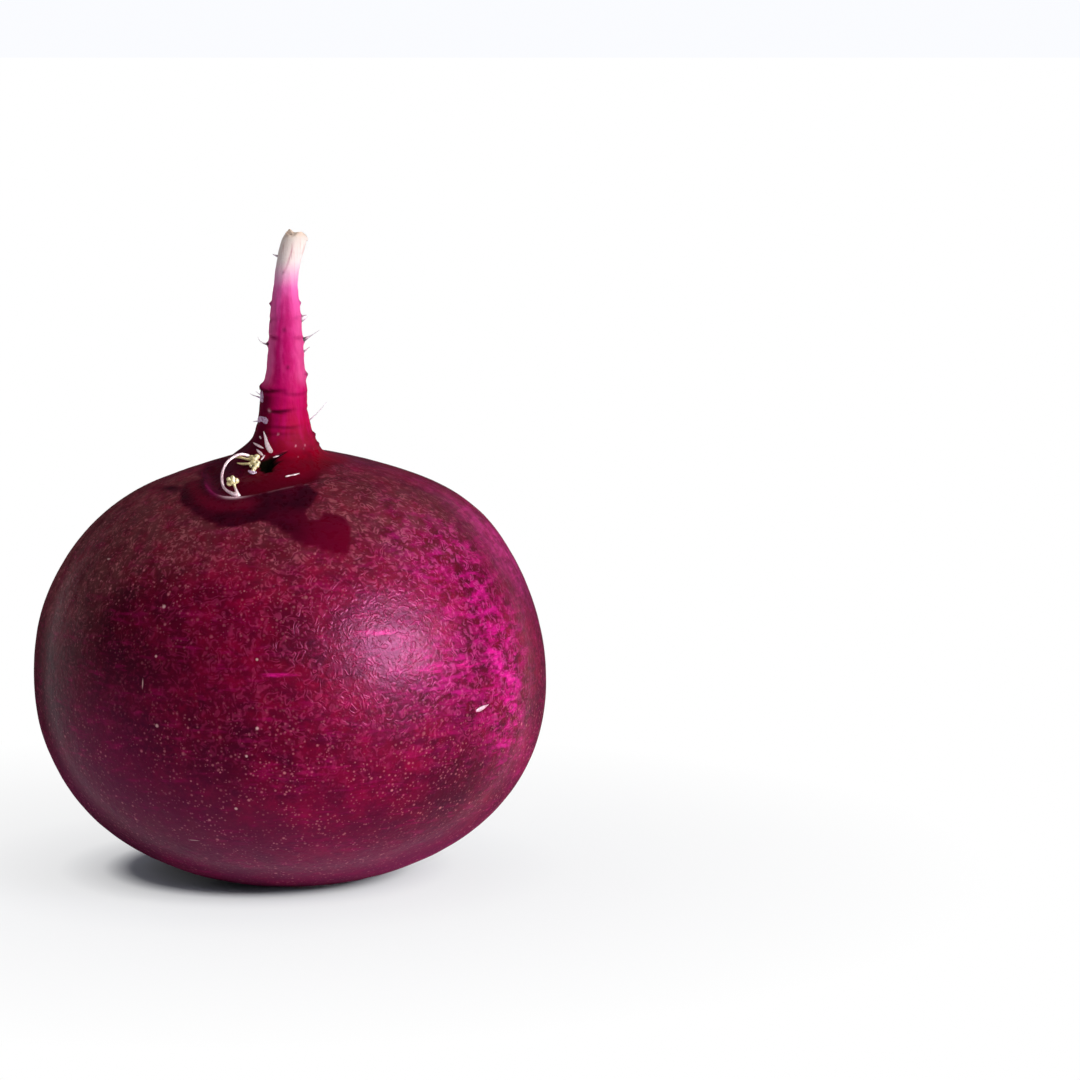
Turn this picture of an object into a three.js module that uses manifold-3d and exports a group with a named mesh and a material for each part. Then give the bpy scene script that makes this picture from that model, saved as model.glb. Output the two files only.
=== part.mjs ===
// A round winter radish standing upside down on its trimmed crown, with its tap root pointing up.
//
// Frame: millimetres, +Z up, origin at the centre of the flat cut on the crown.
// -Y is the front, where the collar's lip and the rootlets at its pit are.
//
// The swollen root and the tap root grew as one, so they are one solid. The side rootlets, the buds, the
// slivers and the flakes of dry skin that stand on it are pieces of their own.
import * as THREE from "three";
import { mergeVertices } from "three/addons/utils/BufferGeometryUtils.js";
import Module from "manifold-3d";

// ---- Driving dimensions ----

// The swollen root: two half superellipsoids that meet at the widest ring.
const WIDEST_RADIUS = 41.1;
const WIDEST_HEIGHT = 33.45;
const UPPER_HALF = { height: 35.8, fullness: 2.1 };
const LOWER_HALF = { height: 34.0, fullness: 2.18 };

// The trimmed crown: a flat cut with a shallow crease round it.
const CROWN_FLAT_RADIUS = 8.2;
const CROWN_EDGE_RADIUS = 8.9;
const CROWN_CREASE = { radius: 9.6, depth: 0.8 };
const CROWN_SHOULDER_RADIUS = 11.6;

// The collar, where the shoulder rises to the tap root. It sits forward of the middle.
const NECK_CENTRE = new THREE.Vector2(-0.5, -5);
const COLLAR_RADIUS = 12.5;
const COLLAR_NARROWING = { by: 3.2, at: 175, width: 50 };
const COLLAR_BLEND_RADIUS = 30;
const NECK_RADIUS = 4.95;
const NECK_HEIGHT = 71.9;

// Its flare, which is steep at the neck, dies out at this radius and leans a little to the left.
const FLARE = { radius: 10.5, power: 3, lean: -0.75, leanFrom: 5, leanFull: 7.5, leanTo: 12 };

// The lip of skin that curls up round the front and left of the collar, with a groove behind it.
const LIP = { radius: 13.4, bulge: 4.1, bulgeAt: -117, bulgeWidth: 26, rise: 0.35, width: 0.8 };
const LIP_SPAN = { from: -178, to: -52, fade: 18 };
const GROOVE = { behind: 2, depth: 0.9, width: 1.3 };

// The tap root: [height, radius] and [height, x, y] of its middle line.
const TAP_ROOT_RADII = [
  [71.9, 4.95],
  [72.8, 4.6],
  [74.0, 4.25],
  [77.7, 3.73],
  [79.6, 3.6],
  [81.6, 3.2],
  [85.6, 2.82],
  [90.4, 2.54],
  [93.5, 2.18],
  [95.9, 1.93],
  [99.0, 1.84],
  [103.0, 1.8],
  [104.4, 1.66],
];
const TAP_ROOT_LINE = [
  [71.9, -0.5, -5.0],
  [77.7, -0.4, -5.4],
  [81.6, -0.1, -5.5],
  [85.6, 0.0, -5.4],
  [90.4, -0.05, -5.2],
  [95.9, 0.02, -4.9],
  [99.0, 0.4, -4.6],
  [101.4, 0.93, -4.3],
  [104.4, 1.9, -3.9],
];
const TAP_ROOT_STEP = 0.85;
const TIP_DIMPLE = { radius: 0.9, depth: 0.35 };

// Ring creases low on the tap root.
const RING_CREASES = [
  { height: 72.6, depth: 0.22 },
  { height: 75.9, depth: 0.25 },
  { height: 79.3, depth: 0.3 },
  { height: 87.4, depth: 0.1 },
  { height: 91.2, depth: 0.08 },
];
const RING_CREASE_WIDTH = 0.5;

// Broad dents and swellings: where they are, how far they reach in degrees, and how deep they are.
const HOLLOWS = [
  { azimuth: 0, elevation: 17, reach: 14, depth: 0.4 },
  { azimuth: 8, elevation: 42, reach: 13, depth: -0.6 },
  { azimuth: 10, elevation: 68, reach: 13, depth: 0.75 },
  { azimuth: -5, elevation: -25, reach: 26, depth: -0.4 },
  { azimuth: 180, elevation: -26, reach: 13, depth: 0.35 },
  { azimuth: 165, elevation: 64, reach: 13, depth: 0.7 },
  { azimuth: -170, elevation: -57, reach: 10, depth: 0.6 },
  { azimuth: 100, elevation: 12, reach: 26, depth: 0.8 },
  { azimuth: 70, elevation: -34, reach: 18, depth: 0.5 },
  { azimuth: 140, elevation: -8, reach: 18, depth: -0.4 },
  { azimuth: -75, elevation: -20, reach: 22, depth: -0.3 },
];

// The small pit at the front of the collar, where the rootlets and the upper bud come out.
const PIT = { middle: [-2.7, -13.6, 68.9], outward: [-0.1, -0.6, 0.8], width: 1.6, length: 2.2, depth: 1.5 };

// The thread-like rootlets: their route from the skin outwards, and how thick they are at the foot.
const CURLED_ROOTLET = {
  thickness: 0.48,
  route: [
    [-4.6, -11.6, 68.9],
    [-5.6, -11.6, 69.5],
    [-6.6, -12.2, 69.9],
    [-7.7, -13.3, 69.7],
    [-8.9, -14.6, 68.8],
    [-9.5, -16.2, 67.3],
    [-9.3, -18.0, 65.8],
    [-8.7, -19.4, 65.2],
    [-7.8, -20.4, 64.8],
    [-7.0, -20.9, 64.6],
  ],
};
const SIDE_ROOTLETS = [
  { thickness: 0.42, route: [[2.2, -5.3, 87.1], [2.9, -5.4, 87.5], [4.1, -5.5, 88.1], [5.6, -5.7, 88.9]] },
  { thickness: 0.34, route: [[-2, -5.5, 86.8], [-2.9, -5.7, 86.6], [-3.9, -6, 87], [-4.4, -6.2, 87.8]] },
  { thickness: 0.3, route: [[2.3, -5.4, 84.7], [3.1, -5.4, 85.4], [3.8, -5.4, 86.4]] },
  { thickness: 0.3, route: [[3.4, -5.2, 74.3], [4.3, -5.2, 75.1], [5.3, -5.3, 76.1], [6.4, -5.3, 77.4]] },
  { thickness: 0.5, route: [[1.7, -5.2, 90.3], [2.4, -5.2, 90.6], [3.1, -5.2, 91.3]] },
  { thickness: 0.34, route: [[-0.5, -4.6, 100.3], [-1.2, -4.6, 100.4], [-2.0, -4.7, 100.7]] },
];
const THREAD_END = 0.35;

// The lower bud: a knobbly head on a stalk that springs from the lip.
const LOWER_BUD = {
  middle: [-7.6, -20.0, 66.7],
  core: 0.62,
  lobe: 0.46,
  lobes: 5,
  spread: 0.62,
  facing: [0.1, -0.8, 0.6],
  stalk: [[-6.6, -20.7, 63.7], [-6.8, -20.9, 64.6], [-7.2, -20.5, 65.6], [-7.6, -20.0, 66.6]],
  stalkThickness: 0.62,
};

// The upper bud: joined lobes at the pit, given as their middles and half sizes.
const UPPER_BUD_LOBES = [
  { middle: [-5.0, -12.9, 69.0], half: [0.55, 0.6, 0.8] },
  { middle: [-5.1, -12.2, 69.8], half: [0.4, 0.4, 0.45] },
  { middle: [-4.5, -13.3, 68.9], half: [0.5, 0.5, 0.6] },
  { middle: [-4.5, -14.0, 68.1], half: [0.5, 0.45, 0.45] },
  { middle: [-4.2, -13.4, 68.3], half: [0.35, 0.7, 0.5] },
  { middle: [-6.4, -13.3, 68.9], half: [1.25, 0.35, 0.3] },
];

// The slivers and flakes: lens-shaped scraps of skin that lie on the root or stand a little off it.
const SCRAPS = [
  {
    name: "white_sliver",
    middle: [-2.6, -10.8, 71.6],
    along: [0.5, -0.9, -0.8],
    outward: [-0.1, -0.7, 0.7],
    size: [3.7, 0.8, 0.5],
  },
  {
    name: "pink_sliver",
    middle: [-4.1, -10.5, 70.9],
    along: [0.8, -0.6, -0.35],
    outward: [-0.3, -0.5, 0.8],
    size: [2.1, 0.45, 0.4],
  },
  {
    name: "short_sliver_1",
    middle: [-3.95, -11.7, 70.0],
    along: [0.5, -0.6, -0.5],
    outward: [-0.25, -0.55, 0.8],
    size: [1.35, 0.4, 0.4],
  },
  {
    name: "short_sliver_2",
    middle: [-3.5, -12.5, 69.3],
    along: [0.4, 0.2, 0.9],
    outward: [-0.2, -0.7, 0.6],
    size: [1.25, 0.42, 0.4],
  },
  {
    name: "lilac_flake",
    middle: [-4.9, -14.9, 67.2],
    along: [1, -0.1, 0.1],
    outward: [-0.1, -0.55, 0.8],
    size: [1.25, 0.7, 0.4],
  },
  {
    name: "loose_fibre",
    middle: [1.4, -15.2, 67.15],
    along: [1, 0.3, 0.05],
    outward: [0.05, -0.7, 0.7],
    size: [2.6, 0.45, 0.4],
  },
  {
    name: "skin_chip",
    middle: [31.6, -26.2, 32.1],
    along: [0.6, 0.7, 0.25],
    outward: [0.76, -0.65, 0],
    size: [2.1, 0.7, 0.4],
  },
  {
    name: "skin_flake_1",
    middle: [-3.8, -7.0, 78.5],
    along: [0.1, -0.1, 1],
    outward: [-0.7, -0.7, 0.1],
    size: [2.1, 1.0, 0.4],
  },
  {
    name: "skin_flake_2",
    middle: [-4.1, -7.9, 74.8],
    along: [-0.8, 0.6, 0],
    outward: [-0.6, -0.8, 0.2],
    size: [2.6, 1.2, 0.4],
  },
];

const SEGMENTS = 40;
const LOWER_RINGS = 15;
const UPPER_RINGS = 13;
const COLLAR_STEP = 0.75;
const WELD = 1e-4;
const THREAD_SIDES = 8;
const THREAD_STEP = 0.5;
const LOBE_SEGMENTS = 10;
const LOBE_RINGS = 6;

// ---- Small helpers ----

const radians = THREE.MathUtils.degToRad;
const lerp = THREE.MathUtils.lerp;
const smoothstep = THREE.MathUtils.smoothstep;

function bump(distance, width) {
  return Math.exp(-((distance / width) ** 2));
}

// The signed difference between two directions, in degrees, from -180 to 180.
function turn(from, to) {
  return THREE.MathUtils.euclideanModulo(to - from + 180, 360) - 180;
}

// A smooth curve through rows of [height, value, ...], read by height.
function track(rows) {
  const points = rows.map(([height, a, b = 0]) => new THREE.Vector3(a, b, height));
  const curve = new THREE.CatmullRomCurve3(points, false, "centripetal");
  const samples = curve.getPoints(rows.length * 12);
  return (height) => {
    const above = samples.findIndex((p) => p.z >= height);
    if (above === -1) return samples[samples.length - 1].clone();
    if (above === 0) return samples[0].clone();
    const low = samples[above - 1];
    const high = samples[above];
    return low.clone().lerp(high, (height - low.z) / (high.z - low.z));
  };
}

const tapRootRadius = track(TAP_ROOT_RADII);
const tapRootLine = track(TAP_ROOT_LINE);
const TIP_HEIGHT = TAP_ROOT_RADII[TAP_ROOT_RADII.length - 1][0];

// ---- The swollen root ----

function halfProfile({ height, fullness }, radius) {
  const share = Math.min(radius / WIDEST_RADIUS, 1);
  return height * (1 - share ** fullness) ** (1 / fullness);
}

function shoulderHeight(radius) {
  return WIDEST_HEIGHT + halfProfile(UPPER_HALF, radius);
}

function undersideHeight(radius) {
  return WIDEST_HEIGHT - halfProfile(LOWER_HALF, radius);
}

// The dents and swellings move a point along the line from the middle of the root.
function dented(point) {
  const middle = new THREE.Vector3(0, 0, WIDEST_HEIGHT);
  const outward = point.clone().sub(middle);
  const distance = outward.length();
  outward.normalize();
  let depth = 0;
  for (const hollow of HOLLOWS) {
    const azimuth = radians(hollow.azimuth);
    const elevation = radians(hollow.elevation);
    const towards = new THREE.Vector3(
      Math.cos(elevation) * Math.cos(azimuth),
      Math.cos(elevation) * Math.sin(azimuth),
      Math.sin(elevation),
    );
    depth += hollow.depth * bump(outward.angleTo(towards), radians(hollow.reach));
  }
  return middle.addScaledVector(outward, distance - depth);
}

// ---- The collar and its lip ----

function flareHeight(radius) {
  const rise = NECK_HEIGHT - shoulderHeight(NECK_CENTRE.length());
  const share = Math.max(0, (FLARE.radius - radius) / (FLARE.radius - NECK_RADIUS));
  return rise * share ** FLARE.power;
}

function flareLean(radius) {
  const grown = smoothstep(radius, FLARE.leanFrom, FLARE.leanFull);
  const gone = smoothstep(radius, FLARE.leanFull, FLARE.leanTo);
  return FLARE.lean * grown * (1 - gone);
}

// Where the level ground round the neck ends. It is narrower on the left.
function collarRadius(azimuth) {
  const { by, at, width } = COLLAR_NARROWING;
  return COLLAR_RADIUS - by * bump(turn(at, azimuth), width);
}

function lipRadius(azimuth) {
  return LIP.radius + LIP.bulge * bump(turn(LIP.bulgeAt, azimuth), LIP.bulgeWidth);
}

function lipStrength(azimuth) {
  const along = turn((LIP_SPAN.from + LIP_SPAN.to) / 2, azimuth);
  const half = (LIP_SPAN.to - LIP_SPAN.from) / 2;
  return 1 - smoothstep(Math.abs(along), half - LIP_SPAN.fade, half);
}

function lipHeight(radius, azimuth) {
  const past = radius - lipRadius(azimuth);
  const crest = LIP.rise * bump(past, LIP.width);
  const groove = GROOVE.depth * bump(past + GROOVE.behind, GROOVE.width);
  return lipStrength(azimuth) * (crest - groove);
}

// A point of the shoulder or collar. The rings move forward as they close on the neck.
function shoulderPoint(radius, azimuth) {
  const forward = 1 - smoothstep(radius, COLLAR_RADIUS + LIP.bulge, COLLAR_BLEND_RADIUS);
  const x = NECK_CENTRE.x * forward + flareLean(radius) + radius * Math.cos(azimuth);
  const y = NECK_CENTRE.y * forward + radius * Math.sin(azimuth);
  const onBody = dented(new THREE.Vector3(x, y, shoulderHeight(Math.hypot(x, y))));
  const degrees = THREE.MathUtils.radToDeg(azimuth);
  const level = 1 - smoothstep(radius, NECK_RADIUS, collarRadius(degrees));
  const height = lerp(onBody.z, shoulderHeight(NECK_CENTRE.length()), level);
  const z = height + flareHeight(radius) + lipHeight(radius, degrees);
  return new THREE.Vector3(lerp(onBody.x, x, level), lerp(onBody.y, y, level), z);
}

// ---- The tap root ----

function creaseDepth(height) {
  return RING_CREASES.reduce(
    (sum, crease) => sum + crease.depth * bump(height - crease.height, RING_CREASE_WIDTH),
    0,
  );
}

// A point of the tap root, on a ring square to its middle line. A share of 1 is on the skin.
function tapRootPoint(height, share, azimuth) {
  const middle = tapRootLine(height);
  const along = tapRootLine(height + 0.5).sub(tapRootLine(height - 0.5));
  const upright = smoothstep(height, NECK_HEIGHT, NECK_HEIGHT + 4);
  along.normalize().lerp(new THREE.Vector3(0, 0, 1), 1 - upright);
  const turned = new THREE.Quaternion().setFromUnitVectors(
    new THREE.Vector3(0, 0, 1),
    along.normalize(),
  );
  const radius = (tapRootRadius(height).x - creaseDepth(height)) * share;
  const across = new THREE.Vector3(Math.cos(azimuth), Math.sin(azimuth), 0);
  return middle.addScaledVector(across.applyQuaternion(turned), radius);
}

// ---- The root as one lathed skin, then pushed into shape ----

// Each ring of the lathe says which surface it lies on. Its lathe height is only its place in the order.
function rootRings() {
  const rings = [
    { kind: "crown", radius: 0, height: 0 },
    { kind: "crown", radius: CROWN_FLAT_RADIUS / 2, height: 0 },
    { kind: "crown", radius: CROWN_FLAT_RADIUS, height: 0 },
    { kind: "crown", radius: CROWN_EDGE_RADIUS, height: CROWN_CREASE.depth * 0.3 },
    { kind: "crown", radius: CROWN_CREASE.radius, height: CROWN_CREASE.depth },
  ];
  const start = Math.asin(CROWN_SHOULDER_RADIUS / WIDEST_RADIUS);
  for (let i = 0; i < LOWER_RINGS; i += 1) {
    const angle = lerp(start, Math.PI / 2, i / LOWER_RINGS);
    const radius = WIDEST_RADIUS * Math.sin(angle);
    rings.push({ kind: "underside", radius });
  }
  const collarStart = LIP.radius + LIP.bulge + 2 * LIP.width;
  const end = Math.asin(collarStart / WIDEST_RADIUS);
  for (let i = 0; i < UPPER_RINGS; i += 1) {
    const angle = lerp(Math.PI / 2, end, i / UPPER_RINGS);
    rings.push({ kind: "shoulder", radius: WIDEST_RADIUS * Math.sin(angle) });
  }
  for (let radius = collarStart; radius > NECK_RADIUS; radius -= COLLAR_STEP) {
    rings.push({ kind: "shoulder", radius });
  }
  for (let height = NECK_HEIGHT; height < TIP_HEIGHT; height += TAP_ROOT_STEP) {
    rings.push({ kind: "tap_root", height, share: 1 });
  }
  const tipRadius = tapRootRadius(TIP_HEIGHT).x;
  rings.push({ kind: "tap_root", height: TIP_HEIGHT, share: 1 });
  rings.push({ kind: "tap_root", height: TIP_HEIGHT, share: TIP_DIMPLE.radius / tipRadius });
  rings.push({ kind: "tap_root", height: TIP_HEIGHT - TIP_DIMPLE.depth, share: 0 });
  return rings;
}

function ringPoint(ring, azimuth) {
  const x = ring.radius * Math.cos(azimuth);
  const y = ring.radius * Math.sin(azimuth);
  switch (ring.kind) {
    case "crown":
      return new THREE.Vector3(x, y, ring.height);
    case "underside":
      return dented(new THREE.Vector3(x, y, undersideHeight(ring.radius)));
    case "shoulder":
      return shoulderPoint(ring.radius, azimuth);
    default:
      return tapRootPoint(ring.height, ring.share, azimuth);
  }
}

function rootGeometry() {
  const rings = rootRings();
  const profile = rings.map((ring, order) => {
    const onAxis = ring.radius === 0 || ring.share === 0;
    return new THREE.Vector2(onAxis ? 0 : 1, order);
  });
  const lathe = new THREE.LatheGeometry(profile, SEGMENTS);
  const position = lathe.getAttribute("position");
  for (let i = 0; i < position.count; i += 1) {
    const ring = rings[Math.round(position.getY(i))];
    const azimuth = Math.atan2(-position.getZ(i), position.getX(i));
    const { x, y, z } = ringPoint(ring, azimuth);
    position.setXYZ(i, x, y, z);
  }
  return lathe;
}

// ---- Solids that are joined and cut ----

const wasm = await Module();
wasm.setup();

// A closed solid of a mesh. Triangles that shrink to a line at a pole are left out.
function solidOf(geometry) {
  const bare = geometry.clone();
  bare.deleteAttribute("normal");
  bare.deleteAttribute("uv");
  const merged = mergeVertices(bare, WELD);
  const corners = merged.getIndex().array;
  const kept = [];
  for (let i = 0; i < corners.length; i += 3) {
    const [a, b, c] = corners.slice(i, i + 3);
    if (a !== b && b !== c && c !== a) kept.push(a, b, c);
  }
  return new wasm.Manifold(
    new wasm.Mesh({
      numProp: 3,
      vertProperties: Float32Array.from(merged.getAttribute("position").array),
      triVerts: Uint32Array.from(kept),
    }),
  );
}

function geometryOf(solid) {
  const { vertProperties, triVerts } = solid.getMesh();
  const geometry = new THREE.BufferGeometry();
  geometry.setAttribute("position", new THREE.BufferAttribute(vertProperties, 3));
  geometry.setIndex(new THREE.BufferAttribute(triVerts, 1));
  geometry.computeVertexNormals();
  return geometry;
}

// An ellipsoid with its first half size along one direction and its last along the outward one.
function ellipsoid({ middle, along, outward, half }) {
  const geometry = new THREE.SphereGeometry(1, LOBE_SEGMENTS, LOBE_RINGS);
  const up = new THREE.Vector3(...outward).normalize();
  const side = up.clone().cross(new THREE.Vector3(...along)).normalize();
  const forward = side.clone().cross(up);
  const placed = new THREE.Matrix4().makeBasis(forward, side, up);
  placed.scale(new THREE.Vector3(...half)).setPosition(...middle);
  return geometry.applyMatrix4(placed);
}

function lobe({ middle, half }) {
  return solidOf(ellipsoid({ middle, along: [1, 0, 0], outward: [0, 0, 1], half }));
}

// A round thread along its route, which thins to its free end.
function thread({ route, thickness }, end = THREAD_END) {
  const path = new THREE.CatmullRomCurve3(route.map((point) => new THREE.Vector3(...point)));
  const steps = Math.max(6, Math.round(path.getLength() / THREAD_STEP));
  const section = new THREE.Shape().absarc(0, 0, thickness / 2, 0, 2 * Math.PI);
  const geometry = new THREE.ExtrudeGeometry(section, {
    steps,
    curveSegments: THREAD_SIDES / 2,
    extrudePath: path,
  });
  const middles = path.getSpacedPoints(steps);
  const position = geometry.getAttribute("position");
  const point = new THREE.Vector3();
  for (let i = 0; i < position.count; i += 1) {
    point.fromBufferAttribute(position, i);
    const distances = middles.map((middle) => middle.distanceTo(point));
    const step = distances.indexOf(Math.min(...distances));
    point.sub(middles[step]).multiplyScalar(lerp(1, end, step / steps)).add(middles[step]);
    position.setXYZ(i, point.x, point.y, point.z);
  }
  return solidOf(geometry);
}

function joined(solids) {
  return solids.reduce((whole, solid) => whole.add(solid));
}

// ---- The root with its pit ----

const rootSolid = solidOf(rootGeometry()).subtract(
  solidOf(
    ellipsoid({
      middle: PIT.middle,
      along: [0, -0.8, -0.6],
      outward: PIT.outward,
      half: [PIT.length / 2, PIT.width / 2, PIT.depth],
    }),
  ),
);

// ---- The small pieces ----

function lowerBud() {
  const facing = new THREE.Vector3(...LOWER_BUD.facing).normalize();
  const turned = new THREE.Quaternion().setFromUnitVectors(new THREE.Vector3(0, 0, 1), facing);
  const { middle, core, lobe: size, lobes, spread, stalk, stalkThickness } = LOWER_BUD;
  const solids = [lobe({ middle, half: [core, core, core] })];
  for (let i = 0; i < lobes; i += 1) {
    const angle = (2 * Math.PI * i) / lobes;
    const place = new THREE.Vector3(Math.cos(angle), Math.sin(angle), 0.2)
      .multiplyScalar(spread)
      .applyQuaternion(turned)
      .add(new THREE.Vector3(...middle));
    solids.push(lobe({ middle: place.toArray(), half: [size, size, size] }));
  }
  solids.push(thread({ route: stalk, thickness: stalkThickness }, 0.6));
  return joined(solids);
}

function upperBud() {
  return joined(UPPER_BUD_LOBES.map(lobe));
}

function scrap({ middle, along, outward, size }) {
  const half = size.map((length) => length / 2);
  return solidOf(ellipsoid({ middle, along, outward, half }));
}

// ---- Meshes ----

const skin = new THREE.MeshStandardMaterial({ color: 0x7a1238, roughness: 0.5 });
const rootlet = new THREE.MeshStandardMaterial({ color: 0xe6c9d2, roughness: 0.6 });
const bud = new THREE.MeshStandardMaterial({ color: 0xd9cfa0, roughness: 0.6 });
const drySkin = new THREE.MeshStandardMaterial({ color: 0xd8c3cc, roughness: 0.7 });

const radish = new THREE.Group();
radish.name = "radish";

function add(name, solid, material) {
  const mesh = new THREE.Mesh(geometryOf(solid), material);
  mesh.name = name;
  radish.add(mesh);
}

// A small piece ends face to face with what it stands on, so each is cut by all that came before it.
let taken = rootSolid;

function addOnRoot(name, solid, material) {
  const cut = solid.subtract(taken);
  add(name, cut, material);
  taken = taken.add(solid);
}

add("radish_root", rootSolid, skin);
addOnRoot("upper_bud", upperBud(), bud);
addOnRoot("lower_bud", lowerBud(), bud);
addOnRoot("curled_rootlet", thread(CURLED_ROOTLET, 0.7), rootlet);
SIDE_ROOTLETS.forEach((row, i) => addOnRoot(`side_rootlet_${i + 1}`, thread(row), rootlet));
SCRAPS.forEach((row) => addOnRoot(row.name, scrap(row), drySkin));

export default radish;
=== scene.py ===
# %% [markdown]
# # A round winter radish
# This lesson dresses a radish that stands upside down on its trimmed crown. A solid model of it already
# exists in millimetres, with +Z up and the origin in the middle of the cut crown. We load that model as
# a fixed frame, model a finer skin over it and give every piece a procedural finish.

import math

import bmesh
import bpy
import numpy as np
from mathutils import Matrix, Vector, noise


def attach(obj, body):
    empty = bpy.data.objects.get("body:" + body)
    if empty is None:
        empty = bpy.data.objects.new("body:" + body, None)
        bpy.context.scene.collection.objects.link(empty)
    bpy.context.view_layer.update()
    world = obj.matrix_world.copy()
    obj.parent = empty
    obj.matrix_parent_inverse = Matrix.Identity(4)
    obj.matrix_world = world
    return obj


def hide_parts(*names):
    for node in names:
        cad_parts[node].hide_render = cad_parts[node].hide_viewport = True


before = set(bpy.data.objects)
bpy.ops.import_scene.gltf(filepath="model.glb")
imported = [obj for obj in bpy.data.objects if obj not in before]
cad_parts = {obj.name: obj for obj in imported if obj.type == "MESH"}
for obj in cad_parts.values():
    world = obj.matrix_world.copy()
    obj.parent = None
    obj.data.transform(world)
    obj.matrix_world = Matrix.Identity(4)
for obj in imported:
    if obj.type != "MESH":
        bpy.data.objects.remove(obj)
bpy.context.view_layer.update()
print("solid model:", sorted(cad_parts))

# %% [markdown]
# ## Camera
# A long lens keeps the radish free of perspective stretch, as in a product picture. The camera looks
# down by a few degrees at a point to the right of the radish, so the radish stands left of the middle.
# Blender works in metres, so lengths that are easier to think of in millimetres are multiplied by MM.

# %% Place the camera
MM = 0.001
CAMERA_DISTANCE = 720
CAMERA_DROP = math.radians(8)
CAMERA_AIM = Vector((40.1, 0, 54.6))

camera = bpy.data.objects.new("camera", bpy.data.cameras.new("camera"))
camera.data.lens = 150
camera.data.sensor_width = 36
camera.data.clip_start = 0.01
backwards = Vector((0, -math.cos(CAMERA_DROP), math.sin(CAMERA_DROP)))
camera.location = (CAMERA_AIM + CAMERA_DISTANCE * backwards) * MM
camera.rotation_euler = (math.pi / 2 - CAMERA_DROP, 0, 0)
bpy.context.scene.collection.objects.link(camera)
bpy.context.scene.camera = camera
bpy.context.scene.view_settings.view_transform = "Standard"
print("camera at", [round(x, 3) for x in camera.location])

# %% [markdown]
# ## A short way to write shader nodes
# A material is a graph of nodes. Building it takes many lines, so these helpers add one node and either
# set each of its sockets or link it, depending on what they are given.

# %% Helpers that add shader nodes
def node(tree, kind, inputs=None, **settings):
    """Adds a node. An input is a number, a colour or another node's socket."""
    made = tree.nodes.new(kind)
    for name, value in settings.items():
        setattr(made, name, value)
    for name, value in (inputs or {}).items():
        if isinstance(value, bpy.types.NodeSocket):
            tree.links.new(value, made.inputs[name])
        else:
            made.inputs[name].default_value = value
    return made


def maths(tree, operation, *values):
    """One step of arithmetic on values, clamped to nothing."""
    return node(tree, "ShaderNodeMath", dict(enumerate(values)), operation=operation).outputs[0]


def inverse(tree, value):
    """A mask turned over: 1 where it was 0, and 0 where it was 1."""
    return maths(tree, "SUBTRACT", 1.0, value)


def remap(tree, value, low, high, to_low=0.0, to_high=1.0):
    """Moves a value from one range to another with soft ends."""
    sockets = {0: value, 1: low, 2: high, 3: to_low, 4: to_high}
    return node(tree, "ShaderNodeMapRange", sockets, interpolation_type="SMOOTHSTEP").outputs[0]


def mixed(tree, factor, under, over, mode="MIX"):
    """Lays one colour over another by a factor."""
    sockets = {0: factor, 6: under, 7: over}
    return node(tree, "ShaderNodeMix", sockets, data_type="RGBA", blend_type=mode).outputs[2]


def attribute(tree, name):
    """Reads a value that the mesh stores at its vertices."""
    return node(tree, "ShaderNodeAttribute", attribute_name=name).outputs["Fac"]


def height_of(tree, place):
    """The upward part of a place."""
    return node(tree, "ShaderNodeSeparateXYZ", {0: place}).outputs["Z"]


def ramp(tree, value, stops):
    """A colour ramp of (place, colour) stops."""
    made = node(tree, "ShaderNodeValToRGB", {0: value})
    elements = made.color_ramp.elements
    while len(elements) < len(stops):
        elements.new(1.0)
    for element, (place, colour) in zip(elements, stops):
        element.position = place
        element.color = colour
    return made.outputs[0]


def rgb(red, green, blue):
    """A colour for a shader, from the 0 to 255 numbers of a paint chart."""
    shares = [number / 255 for number in (red, green, blue)]
    linear = [share / 12.92 if share < 0.0405 else ((share + 0.055) / 1.055) ** 2.4 for share in shares]
    return (*linear, 1.0)


def new_material(name):
    """An empty material with its output node, ready for a shader."""
    material = bpy.data.materials.new(name)
    material.use_nodes = True
    material.node_tree.nodes.clear()
    return material, material.node_tree


def finish_shader(tree, shader):
    """Links the last shader to the material's output."""
    output = tree.nodes.new("ShaderNodeOutputMaterial")
    tree.links.new(shader, output.inputs["Surface"])


# %% [markdown]
# ## The floor
# The radish stands on a wide white sheet. Near the radish it is a real surface that takes its shadow.
# Further away, and only to rays that come straight from the camera or off something glossy, it shines
# at a strength of 1, which is white. Close to the middle the sheet is painted dark as a painted shadow,
# which deepens the real shadow where the radish meets it.

# %% Lay the floor
FLOOR_HALF_WIDTH = 4.0

bm = bmesh.new()
bmesh.ops.create_grid(bm, x_segments=1, y_segments=1, size=FLOOR_HALF_WIDTH)
floor = bpy.data.objects.new("floor", bpy.data.meshes.new("floor"))
bm.to_mesh(floor.data)
bm.free()
bpy.context.scene.collection.objects.link(floor)
print("floor:", FLOOR_HALF_WIDTH * 2, "m wide")


# %% Paint the floor white
def seen_directly(tree):
    """1 for rays from the camera, off a gloss or through glass, and 0 for the light that fills shadows."""
    rays = node(tree, "ShaderNodeLightPath").outputs
    seen = maths(tree, "MAXIMUM", rays["Is Camera Ray"], rays["Is Glossy Ray"])
    return maths(tree, "MAXIMUM", seen, rays["Is Transmission Ray"])


GLOW_REACH = 0.12
GLOW_MIDDLE = (-0.006, 0.007, 0.0)
GLOW_STOPS = [(0.0, 0.0), (0.17, 0.0), (0.19, 0.25), (0.21, 0.52), (0.27, 0.75), (0.42, 0.86), (1.0, 1.0)]
DARK_PAPER_TO, WHITE_PAPER_FROM = 0.08, 0.2

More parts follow.
